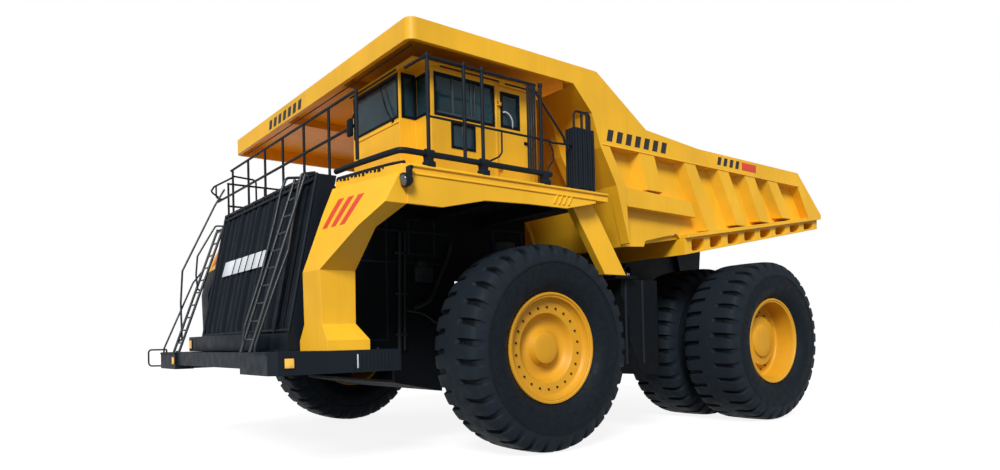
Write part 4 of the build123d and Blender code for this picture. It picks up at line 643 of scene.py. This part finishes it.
# ---- deck ----
DECK_Z, LIP_X, RAIL_X = 3.0, 4.67, 4.63        # top, face of the side valance, left handrail's posts
edge_teeth = Piece("deck_edge_grip", "chassis", DARK)
(EDGE_X0, EDGE_Y0), (EDGE_X1, EDGE_Y1) = (2.95, -3.42), (4.29, -3.18)
for k in range(13):
    share = (k + 0.5) / 13
    x, y = EDGE_X0 + share * (EDGE_X1 - EDGE_X0), EDGE_Y0 + share * (EDGE_Y1 - EDGE_Y0)
    wide, drop = 0.022 + 0.01 * (k % 3), 0.022 + 0.01 * ((k * 5) % 4)
    edge_teeth.block((x - wide, y - 0.012, DECK_Z - drop), (x + wide, y + 0.1, DECK_Z + 0.03), 0.006)
edge_teeth.tube([(EDGE_X0, EDGE_Y0 + 0.05, DECK_Z + 0.04), (EDGE_X1, EDGE_Y1 + 0.05, DECK_Z + 0.04),
                 (4.6, -3.0, DECK_Z + 0.04)], 0.03)
edge_teeth.done()

lip = Piece("deck_lip", "chassis", YELLOW)
LIP_STRIPS = ((-0.03, 0.03, -0.035, 0.012, 1.55, 0.012), (-0.005, 0.02, -0.155, -0.125, 1.2, 0.006))
for sign in (1, -1):
    for x0, x1, z0, z1, end, bevel in LIP_STRIPS:
        lip.block((sign * (LIP_X + x0), -2.98, DECK_Z + z0), (sign * (LIP_X + x1), end, DECK_Z + z1), bevel)
    for k in range(4):
        y = 0.19 + 0.12 * k
        outline = [(sign * LIP_X, y + dy, DECK_Z - dz)
                   for dy, dz in ((0, 0.14), (0.035, 0.14), (-0.06, 0.32), (-0.095, 0.32))]
        lip.prism(outline, (sign * 0.02, 0, 0), 0.006)
lip.done()

LAMP_AT, LAMP_AIM = (4.74, -3.06, 2.72), (0, -1, -0.2)
LAMP_SHELL = [(-0.1, 0), (-0.1, 0.06), (-0.05, 0.10), (0.02, 0.115), (0.05, 0.115), (0.05, 0)]
lamp = Piece("deck_work_lamps", "chassis", DARK)
lamp_glass = Piece("deck_work_lamp_lenses", "chassis", LENS)
for sign in (1, -1):
    x, y, z = LAMP_AT
    lamp.lathe(LAMP_SHELL, (sign * x, y, z), LAMP_AIM, 28)
    lamp_glass.lathe([(0.045, 0), (0.045, 0.095), (0.06, 0.085), (0.068, 0)], (sign * x, y, z), LAMP_AIM, 28)
    for inner, dy0, dy1, z0, z1 in ((0.08, 0.04, 0.10, z + 0.06, DECK_Z - 0.05),
                                    (0.14, 0.055, 0.12, DECK_Z - 0.1, DECK_Z - 0.04)):
        lamp.block((sign * (x - inner), y + dy0, z0), (sign * (x + 0.04), y + dy1, z1), 0.012)
lamp.done()
lamp_glass.done()

clamps = Piece("rail_clamps", "chassis", DARK)
CLAMPS = ((-2.56, 0.08, 0.078), (-1.46, 0.08, 0.078), (-0.06, 0.03, 0.054))    # y, inward reach, ring radius
for y, inner, ring in CLAMPS:
    profile = [(-0.075, 0.05), (-0.075, ring), (0.075, ring), (0.075, 0.05)]
    clamps.block((RAIL_X - inner, y - 0.09, DECK_Z), (RAIL_X + 0.08, y + 0.09, DECK_Z + 0.10), 0.02)
    clamps.lathe(profile, (RAIL_X, y, DECK_Z + 0.22), (0, 1, 0), 20)
    low, high = (RAIL_X - inner + 0.01, y - 0.05, DECK_Z + 0.06), (RAIL_X + 0.055, y + 0.05, DECK_Z + 0.22)
    clamps.block(low, high, 0.015)
    for dy in (-0.065, 0.065):
        clamps.stud((RAIL_X + 0.07, y + dy, DECK_Z + 0.05), (1, 0, 0), 0.016, 0.014)
clamps.done()

heads = Piece("handrail_joints", "chassis", DARK)
for y in (-2.56, -1.84, -1.46, -0.13):
    for z, size in ((4.84, 0.044), (3.845, 0.036), (4.815, 0.036)):
        heads.lathe([(-0.03, 0), (-0.03, size), (0.03, size), (0.03, 0)], (RAIL_X, y, z), (0, 0, 1), 16)
heads.done()

fins = Piece("louvre_fins", "chassis", DARK)
BOX_IN, BOX_OUT, BOX_FRONT, FIN_TOP = 4.30, 4.56, 0.79, 4.24
for k in range(8):
    x, y, foot = BOX_OUT + 0.004, BOX_FRONT + 0.03 + k * 0.0645, DECK_Z + 0.02 + 0.03 * (k % 3)
    fins.tube([(x, y, foot), (x + 0.012 * (k % 2), y, 3.7), (x, y, FIN_TOP)], 0.026, 8)
for k in range(4):
    x, y, foot = BOX_IN + 0.035 + k * 0.062, BOX_FRONT - 0.004, DECK_Z + 0.03 + 0.02 * (k % 2)
    fins.tube([(x, y, foot), (x, y, FIN_TOP)], 0.025, 8)
fins.done()

# ---- cab ----
CAB_IN, STEP_X, CAB_X = 1.60, 3.42, 3.95                # inner side, side of the front part, outer side
CAB_Y, SHOULDER_Y, CAB_BACK = -2.40, -2.07, 0.35        # front, set-back front beside it, back
PANE_FOOT, PANE_HEAD, DRIP_Z = 4.19, 4.95, 5.0


def facing_front(x0, x1, z0, z1, y):
    """Corners of an upright rectangle across the truck."""
    return [(x0, y, z0), (x1, y, z0), (x1, y, z1), (x0, y, z1)]


def facing_side(y0, y1, z0, z1, x):
    """Corners of an upright rectangle along the truck."""
    return [(x, y0, z0), (x, y1, z0), (x, y1, z1), (x, y0, z1)]


GASKETS = (  # corners of the opening, and the way that the frame stands out
    (facing_front(1.66, 3.375, PANE_FOOT, PANE_HEAD, CAB_Y), (0, -0.012, 0)),
    (facing_front(3.45, 3.905, PANE_FOOT, 4.90, SHOULDER_Y), (0, -0.012, 0)),
    (facing_side(-2.335, -2.085, PANE_FOOT, PANE_HEAD, STEP_X), (0.012, 0, 0)),
    (facing_side(-1.985, -0.70, 4.17, 4.89, CAB_X), (0.012, 0, 0)),
    (facing_side(-1.64, -1.15, 3.63, 4.08, CAB_X), (0.012, 0, 0)),
    (facing_front(2.0, 3.5, 4.2, 4.86, CAB_BACK), (0, 0.012, 0)),
    (facing_side(-2.2, 0.15, 4.2, 4.9, CAB_IN), (-0.012, 0, 0)))
gaskets = Piece("window_gaskets", "chassis", SOFT_BLACK)
for corners, out in GASKETS:
    gaskets.border(corners, 0.022, 0.026, out)
gaskets.done()

mullions = Piece("sliding_window_frames", "chassis", PALE_DARK)
for y, wide in ((-1.6, 0.05), (-1.2, 0.035), (-1.12, 0.03)):
    mullions.block((CAB_X - 0.03, y - wide / 2, PANE_FOOT), (CAB_X - 0.004, y + wide / 2, 4.87), 0.006)
mullions.block((CAB_X - 0.03, -1.41, 3.65), (CAB_X - 0.004, -1.37, 4.06), 0.006)
mullions.block((CAB_X - 0.03, -1.95, 4.195), (CAB_X - 0.006, -0.72, 4.235), 0.006)
mullions.done()

door_trim = Piece("door_window_gasket", "door", SOFT_BLACK)
door_trim.border(facing_side(-0.52, -0.09, PANE_FOOT, 4.83, CAB_X - 0.004), 0.02, 0.035, (0.01, 0, 0))
door_trim.done()
door_bits = Piece("door_handle", "door", SOFT_BLACK)
door_bits.block((CAB_X - 0.004, 0.02, 3.92), (CAB_X + 0.016, 0.13, 3.98), 0.008)
door_bits.tube([(CAB_X + 0.01, 0.035, 3.95), (CAB_X + 0.05, 0.05, 3.95), (CAB_X + 0.05, 0.11, 3.95),
                (CAB_X + 0.01, 0.125, 3.95)], 0.011, 8)
door_bits.done()
grab = Piece("door_grab_handle", "door", PALE)
grab.tube([(CAB_X - 0.006, -0.47, 4.46), (CAB_X + 0.03, -0.44, 4.47), (CAB_X + 0.035, -0.33, 4.42),
           (CAB_X + 0.035, -0.27, 4.30), (CAB_X - 0.006, -0.25, 4.2)], 0.014)
grab.done()

cab_lines = Piece("cab_drip_rail", "chassis", SOFT_BLACK)
for y0, y1, z in ((-1.9, -0.6, DRIP_Z), (-0.45, 0.36, DRIP_Z - 0.015)):
    cab_lines.tube([(CAB_X + 0.055, y0, z), (CAB_X + 0.055, y1, z)], 0.014, 8)
cab_lines.tube([(CAB_IN, CAB_Y - 0.055, DRIP_Z), (STEP_X, CAB_Y - 0.055, DRIP_Z)], 0.014, 8)
cab_lines.done()

cab_ribs = Piece("cab_panel_seams", "chassis", YELLOW)
SIDE_SEAMS = (  # y and z from and to, how far it stands out, rounding
    (-2.05, -0.64, 4.1, 4.125, 0.012, 0.005), (-0.66, -0.61, 3.1, 4.96, 0.014, 0.006),
    (0.225, 0.30, 3.1, 4.96, 0.014, 0.006), (-0.60, 0.26, 4.945, 4.99, 0.05, 0.012))
for y0, y1, z0, z1, out, bevel in SIDE_SEAMS:
    cab_ribs.block((CAB_X - 0.002, y0, z0), (CAB_X + out, y1, z1), bevel)
cab_ribs.block((CAB_IN + 0.05, CAB_Y - 0.014, 4.08), (STEP_X - 0.02, CAB_Y + 0.002, 4.11), 0.005)
cab_ribs.done()

wiper = Piece("windshield_wiper", "chassis", SOFT_BLACK)
wiper.tube([(3.2, CAB_Y - 0.03, 4.16), (3.0, CAB_Y - 0.05, 4.45), (2.9, CAB_Y - 0.035, 4.62)], 0.011, 8)
wiper.tube([(3.06, CAB_Y - 0.03, 4.3), (2.78, CAB_Y - 0.03, 4.9)], 0.009, 8)
wiper.lathe([(0, 0), (0, 0.035), (0.04, 0.03), (0.04, 0)], (3.2, CAB_Y + 0.002, 4.16), (0, -1, 0), 16)
wiper.done()

mirrors = Piece("mirror", "chassis", SOFT_BLACK)
mirrors.block((3.36, -3.40, 3.66), (3.52, -3.33, 3.96), 0.03)
mirrors.tube([(3.44, -3.34, 3.9), (3.47, -3.30, 4.05), (3.56, -3.30, 4.1)], 0.014, 8)
mirrors.done()

roof_bits = Piece("cab_roof_fittings", "chassis", YELLOW)
roof_bits.block((1.9, -1.4, 5.06), (2.6, -0.7, 5.12), 0.03)
for k in range(9):
    roof_bits.stud((CAB_X + 0.01, -1.9 + 0.26 * k, 5.06), (0, 0, 1), 0.014, 0.012)
roof_bits.done()

wheel = Piece("steering_wheel", "chassis", SOFT_BLACK)
WHEEL_AT, WHEEL_TILT = Vector((2.75, -1.66, 4.1)), Vector((0, 0.55, 0.83))
WHEEL_R, GRIP_R = 0.21, 0.018
turns = [2 * math.pi * k / 8 for k in range(8)]
wheel.lathe([(GRIP_R * math.cos(t), WHEEL_R + GRIP_R * math.sin(t)) for t in turns], WHEEL_AT, WHEEL_TILT, 40)
ACROSS = Vector((1, 0, 0))
AWAY = WHEEL_TILT.normalized().cross(ACROSS).normalized()
for k in range(3):
    t = 2 * math.pi * k / 3 + 0.5
    wheel.tube([WHEEL_AT, WHEEL_AT + WHEEL_R * (math.cos(t) * ACROSS + math.sin(t) * AWAY)], 0.014, 8)
wheel.tube([WHEEL_AT, (2.75, -1.78, 3.95)], 0.03, 10)
wheel.done()

# ---- under the deck ----
COVER_X = 2.13                  # outer face of the engine covers
pipes = Piece("engine_bay_pipes", "chassis", DULL)
for sign in (1, -1):
    x = sign * (COVER_X + 0.05)
    for y, radius in ((-1.80, 0.045), (-1.68, 0.03)):
        pipes.tube([(x, y, 0.02), (x, y + 0.02, 1.2), (x, y + 0.05, 2.35)], radius, 12)
    for z in (0.3, 1.1, 1.9):
        pipes.block((sign * COVER_X, -1.88, z), (sign * (COVER_X + 0.09), -1.62, z + 0.05), 0.01)
    big = [(x, -0.55, 2.2), (x, -0.62, 1.9), (x, -0.85, 1.45), (x, -1.05, 1.0), (x, -1.45, 0.85)]
    pipes.tube(big, 0.05, 12, 3)
    pipes.tube([(x, -0.62, 0.55), (x, -0.9, 0.5), (x, -1.2, 0.75), (x, -1.62, 0.8)], 0.028, 10, 3)
    pipes.block((sign * COVER_X, -1.45, 1.36), (sign * (COVER_X + 0.12), -1.02, 1.7), 0.04)
    pipes.block((sign * COVER_X, -1.38, 1.64), (sign * (COVER_X + 0.10), -1.12, 1.8), 0.03)
    for k in range(4):
        pipes.stud((sign * (COVER_X + 0.12), -1.38 + 0.1 * k, 1.46), (sign, 0, 0), 0.022, 0.02)
    pipes.tube([(x, 0.62, 2.3), (x, 0.66, 1.7), (x, 0.86, 0.9)], 0.04, 12, 2)
    pipes.tube([(x, 0.82, 2.3), (x, 0.86, 1.7), (x, 1.1, 0.9)], 0.03, 12, 2)
pipes.done()

panels = Piece("engine_cover_ribs", "chassis", DARK)
for sign in (1, -1):
    for y0, y1, z0, z1 in ((-2.95, -2.0, 0.2, 2.6), (-1.55, -0.9, 1.9, 2.65), (0.55, 1.4, 1.0, 2.6)):
        panels.border(facing_side(y0, y1, z0, z1, sign * COVER_X), 0.0, 0.05, (sign * 0.02, 0, 0), 0.006)
    for z in (2.35, 1.72):
        panels.block((sign * COVER_X, -2.98, z), (sign * (COVER_X + 0.03), -0.6, z + 0.05), 0.01)
panels.done()

# ---- tanks and rear ----
TANK_Y = (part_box("fuel_tank")[0] - at(0, 0, 0)).y
FILLER_CAP = [(0, 0), (0, 0.11), (0.05, 0.11), (0.07, 0.08), (0.07, 0)]
straps = Piece("tank_straps", "chassis", DARK)
for sign in (1, -1):
    for y in (TANK_Y + 0.42, TANK_Y + 0.95):
        straps.block((sign * 4.245, y, -0.4), (sign * 4.262, y + 0.07, 1.38), 0.006)
    straps.block((sign * 3.9, TANK_Y + 0.5, 1.385), (sign * 4.2, TANK_Y + 0.62, 1.44), 0.012)
    straps.lathe(FILLER_CAP, (sign * 3.4, TANK_Y + 0.6, 1.39), (0, 0, 1), 24)
straps.done()

RAIL_TAIL_Y = 8.95              # tail of the frame rails
REAR_LENS = [(0, 0), (0, 0.055), (0.015, 0.05), (0.022, 0)]
rear_lamps = Piece("rear_lamps", "chassis", RED_LENS)
lamp_backs = Piece("rear_lamp_boxes", "chassis", DARK)
for sign in (1, -1):
    lamp_backs.block((sign * 0.72, RAIL_TAIL_Y - 0.005, 1.02), (sign * 1.03, RAIL_TAIL_Y + 0.05, 1.34), 0.02)
    for x in (0.80, 0.95):
        rear_lamps.lathe(REAR_LENS, (sign * x, RAIL_TAIL_Y + 0.05, 1.18), (0, 1, 0), 20)
lamp_backs.done()
rear_lamps.done()

COVER_Y = REAR_Y - AXLE_Y + 0.59        # foot of the cover behind the rear axle's middle
axle_bits = Piece("axle_cover_bolts", "chassis", DARK)
for k in range(20):
    t = 2 * math.pi * k / 20
    axle_bits.stud((0.42 * math.cos(t), COVER_Y + 0.03, 0.42 * math.sin(t)), (0, 1, 0), 0.024, 0.03)
axle_bits.lathe([(-0.06, 0), (-0.06, 0.5), (0.0, 0.5), (0.03, 0.47), (0.03, 0.36), (0.10, 0.22), (0.12, 0)],
                (0, COVER_Y, 0), (0, 1, 0), 48)
axle_bits.done()

# ---- bed ----
BED_X = 4.45                    # face of the bed's sides
seams = Piece("bed_seams", "bed", YELLOW)
for sign in (1, -1):
    seams.block((sign * BED_X, 5.1, 4.07), (sign * (BED_X + 0.006), 5.125, 4.43), 0.002)
    seams.block((sign * BED_X, 1.66, 4.062), (sign * (BED_X + 0.012), 9.1, 4.085), 0.004)
    for k in range(24):
        seams.stud((sign * BED_X, 5.2 + 0.16 * k, 4.12), (sign, 0, 0), 0.012, 0.01)
seams.done()

CANOPY_Y = -2.78                # face of the canopy's front edge
canopy_edge = Piece("canopy_underseam", "bed", DARK)
canopy_edge.tube([(-4.2, CANOPY_Y + 0.2, 5.145), (4.2, CANOPY_Y + 0.2, 5.145)], 0.012, 8)
canopy_edge.done()


def slanted(piece, corner, across, up, count, wide, gap, slant, depth):
    """Row of slanted bars on a flat face, from its lower corner."""
    for k in range(count):
        foot = Vector(corner) + Vector(across) * k * (wide + gap)
        w, s, h = Vector(across) * wide, Vector(across) * slant, Vector(up)
        piece.prism([foot, foot + w, foot + w + s + h, foot + s + h], depth, 0.0015)


marks = Piece("side_and_front_bars", "bed", PRINT_BLACK)
for sign in (1, -1):
    out = (sign * 0.004, 0, 0)
    slanted(marks, (sign * BED_X, 1.78, 4.16), (0, 1, 0), (0, 0, 0.24), 7, 0.16, 0.12, 0.06, out)
    slanted(marks, (sign * BED_X, 5.5, 4.18), (0, 1, 0), (0, 0, 0.19), 4, 0.13, 0.11, 0.05, out)
slanted(marks, (-2.0, CANOPY_Y, 5.2), (1, 0, 0), (0, 0, 0.2), 7, 0.17, 0.12, 0.05, (0, -0.004, 0))
marks.done()

red = Piece("side_red_plates", "bed", RED)
for sign in (1, -1):
    red.prism(facing_side(6.5, 7.1, 4.18, 4.37, sign * BED_X), (sign * 0.004, 0, 0), 0.0015)
red.done()


def surface(node):
    """Ray target over a CAD node."""
    mesh = NODES[node].data
    return BVHTree.FromPolygons([v.co for v in mesh.vertices], [tuple(p.vertices) for p in mesh.polygons])


LEG_BAR_FOOT, LEG_BAR_HIGH, LEG_BAR_WIDE, LEG_BAR_SLANT = 2.12, 0.5, 0.15, 0.42


def leg_bars():
    """Slanted red bars laid on the front face of each leg."""
    legs, piece = surface("uprights"), Piece("leg_bars", "chassis", RED)
    steps = 8
    for sign in (1, -1):
        for k in range(3):
            grid = []
            for j in range(steps + 1):
                z = LEG_BAR_FOOT + LEG_BAR_HIGH * j / steps
                line = []
                for i in range(steps + 1):
                    along = LEG_BAR_WIDE * i / steps + LEG_BAR_SLANT * (z - LEG_BAR_FOOT)
                    x = sign * (3.04 + 0.27 * k + along)
                    hit, normal, _, _ = legs.ray_cast(at(x, -8, z), Vector((0, 1, 0)))
                    line.append(piece.mesh.verts.new(hit + normal * 0.004))
                grid.append(line)
            for a, b in zip(grid, grid[1:]):
                for i in range(steps):
                    piece.mesh.faces.new((a[i], a[i + 1], b[i + 1], b[i]))
    rim = [e for e in piece.mesh.edges if e.is_boundary]
    made = bmesh.ops.extrude_edge_only(piece.mesh, edges=rim)["geom"]
    for v in made:
        if isinstance(v, bmesh.types.BMVert):
            v.co.y += 0.006
    piece.done(60)


leg_bars()


def darken(node, inside):
    """Paints dark those faces of a CAD node for whose middle inside holds."""
    mesh = NODES[node].data
    mesh.materials.append(DARK)
    for face in mesh.polygons:
        if inside(face.center):
            face.material_index = len(mesh.materials) - 1


ROD_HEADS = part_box("hoist_rods")[1].z - 0.42            # foot of the rods' heads
# painted shade: the right leg, on the far side, is painted dark up to 2 m over the axle
darken("uprights", lambda p: p.x < 0 and p.z < TYRE_R + 2.0)        # the right leg, up to 2 m over the axle
darken("hoist_rods", lambda p: p.z > ROD_HEADS)


# ---- operator's seat ----
def bake(piece):
    """Applies the piece's modifiers to its mesh."""
    graph = bpy.context.evaluated_depsgraph_get()
    mesh = bpy.data.meshes.new_from_object(piece.evaluated_get(graph))
    piece.modifiers.clear()
    piece.data = mesh


def swell(piece, most):
    """Swells a closed piece by a short cloth run with air in it, no point by more than most."""
    solid = piece.modifiers.new("even mesh", "REMESH")
    solid.mode, solid.voxel_size = "VOXEL", 0.02
    bake(piece)
    start = [v.co.copy() for v in piece.data.vertices]
    cloth = piece.modifiers.new("swell", "CLOTH")
    cloth.settings.quality = 3
    cloth.settings.use_pressure = True
    cloth.settings.uniform_pressure_force = 4
    cloth.settings.effector_weights.gravity = 0
    for step in range(1, 13):
        bpy.context.scene.frame_set(step)
    bake(piece)
    bpy.context.scene.frame_set(1)
    for v, was in zip(piece.data.vertices, start):
        move = v.co - was
        v.co = was + move * min(1, most / max(move.length, 1e-6))
    smooth = piece.modifiers.new("smooth", "SUBSURF")
    smooth.levels = smooth.render_levels = 1
    bake(piece)


def cushion(name, lo, hi, channels, axis):
    """Stuffed cushion, swollen inside its space, with sewn channels pressed in at shares along an axis."""
    shrink = Vector((0.014,) * 3)
    form = Piece(name, "chassis", FABRIC)
    form.block(Vector(lo) + shrink, Vector(hi) - shrink, 0.035)
    piece = form.done(60)
    swell(piece, 0.02)
    low, high = at(*lo), at(*hi)
    for v in piece.data.vertices:
        for share in channels:
            line = low[axis] + share * (high[axis] - low[axis])
            press = math.exp(-((v.co[axis] - line) / 0.012) ** 2)
            v.co -= v.normal * 0.009 * press
    piece.data.shade_smooth()
    piece.data.materials.clear()
    piece.data.materials.append(FABRIC)
    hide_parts("operator_seat")


cushion("seat_cushion", (2.49, -1.06, 3.48), (3.01, -0.54, 3.62), (0.32, 0.68), 0)
cushion("seat_back", (2.50, -0.57, 3.60), (3.00, -0.45, 4.26), (0.3, 0.5, 0.7), 2)


# ---- floor, light and camera ----
FLOOR_HALF = 400
FLOOR_GLOW = 0.88               # what the camera and reflections see of the floor, besides its own light
WORLD_LEVEL = 0.52              # what the world lights the truck with


def floor():
    """Pale floor that keeps the truck's shadow."""
    mesh = bpy.data.meshes.new("floor")
    corners = [(x * FLOOR_HALF, y * FLOOR_HALF, 0) for x, y in ((-1, -1), (1, -1), (1, 1), (-1, 1))]
    mesh.from_pydata(corners, [], [(0, 1, 2, 3)])
    plane = bpy.data.objects.new("floor", mesh)
    bpy.context.scene.collection.objects.link(plane)
    look = Look("pale floor")
    tree = look.tree
    pale = look.mix(look.ramp(look.noise(0.4, 3), 0.3, 0.7), (0.19, 0.19, 0.19), (0.17, 0.17, 0.17))
    look.set(Base_Color=pale, Roughness=0.9, Specular_IOR_Level=0.0)
    path = look.add("LightPath")
    seen = look.add("Math", {0: path.outputs["Is Camera Ray"], 1: path.outputs["Is Glossy Ray"]},
                    operation="ADD")
    seen = look.add("Math", {0: seen, 1: path.outputs["Is Transmission Ray"]}, operation="ADD",
                    use_clamp=True)
    glow = look.add("Emission", {"Color": (1, 1, 1), "Strength": look.times(seen, FLOOR_GLOW)})
    both = look.add("AddShader", {0: look.shader, 1: glow})
    tree.links.new(both.outputs[0], tree.nodes["Material Output"].inputs["Surface"])
    mesh.materials.append(look.mat)


def world():
    """White background, and the same white at a lower level as light on the truck."""
    sky = bpy.data.worlds.new("studio")
    sky.use_nodes = True
    bpy.context.scene.world = sky
    tree = sky.node_tree
    back = tree.nodes["Background"]
    path = tree.nodes.new("ShaderNodeLightPath")
    seen = tree.nodes.new("ShaderNodeMath")
    seen.operation = "MAXIMUM"
    tree.links.new(path.outputs["Is Camera Ray"], seen.inputs[0])
    tree.links.new(path.outputs["Is Transmission Ray"], seen.inputs[1])
    level = tree.nodes.new("ShaderNodeMapRange")
    tree.links.new(seen.outputs[0], level.inputs["Value"])
    level.inputs["To Min"].default_value = WORLD_LEVEL
    level.inputs["To Max"].default_value = 1.0
    tree.links.new(level.outputs[0], back.inputs["Strength"])
    back.inputs["Color"].default_value = (1, 1, 1, 1)


def sun(name, toward, strength, angle):
    """Soft lamp, angle degrees wide, that shines from the way toward points."""
    lamp = bpy.data.lights.new(name, "SUN")
    lamp.energy = strength
    lamp.angle = math.radians(angle)
    holder = bpy.data.objects.new(name, lamp)
    holder.rotation_euler = Vector(toward).to_track_quat("Z", "Y").to_euler()
    bpy.context.scene.collection.objects.link(holder)


CAMERA_AT = (14.44, -8.70, 0.18)
CAMERA_AIM = 51.63, 0.26, -1.3  # degrees: turn from +y towards -x, tilt up, roll
LENS_LENGTH, LENS_SHIFT = 25.49, (-0.01145, 0.101)


def camera():
    """The photograph's view: from the left and ahead of the truck, 2 m above the floor."""
    turn, tilt, roll = (math.radians(angle) for angle in CAMERA_AIM)
    ahead = Vector((-math.sin(turn) * math.cos(tilt), math.cos(turn) * math.cos(tilt), math.sin(tilt)))
    right = Vector((math.cos(turn), math.sin(turn), 0))
    up = right.cross(ahead)
    right, up = math.cos(roll) * right + math.sin(roll) * up, math.cos(roll) * up - math.sin(roll) * right
    data = bpy.data.cameras.new("camera")
    data.sensor_width = 36
    data.lens = LENS_LENGTH
    data.shift_x, data.shift_y = LENS_SHIFT
    data.clip_start, data.clip_end = 0.1, 2000
    holder = bpy.data.objects.new("camera", data)
    place = Matrix((right, up, -ahead)).transposed().to_4x4()
    place.translation = at(*CAMERA_AT)
    holder.matrix_world = place
    bpy.context.scene.collection.objects.link(holder)
    bpy.context.scene.camera = holder


floor()
world()
sun("key", (0.56, -0.60, 0.57), 3.65, 20)
camera()
bpy.context.scene.view_settings.view_transform = "Standard"
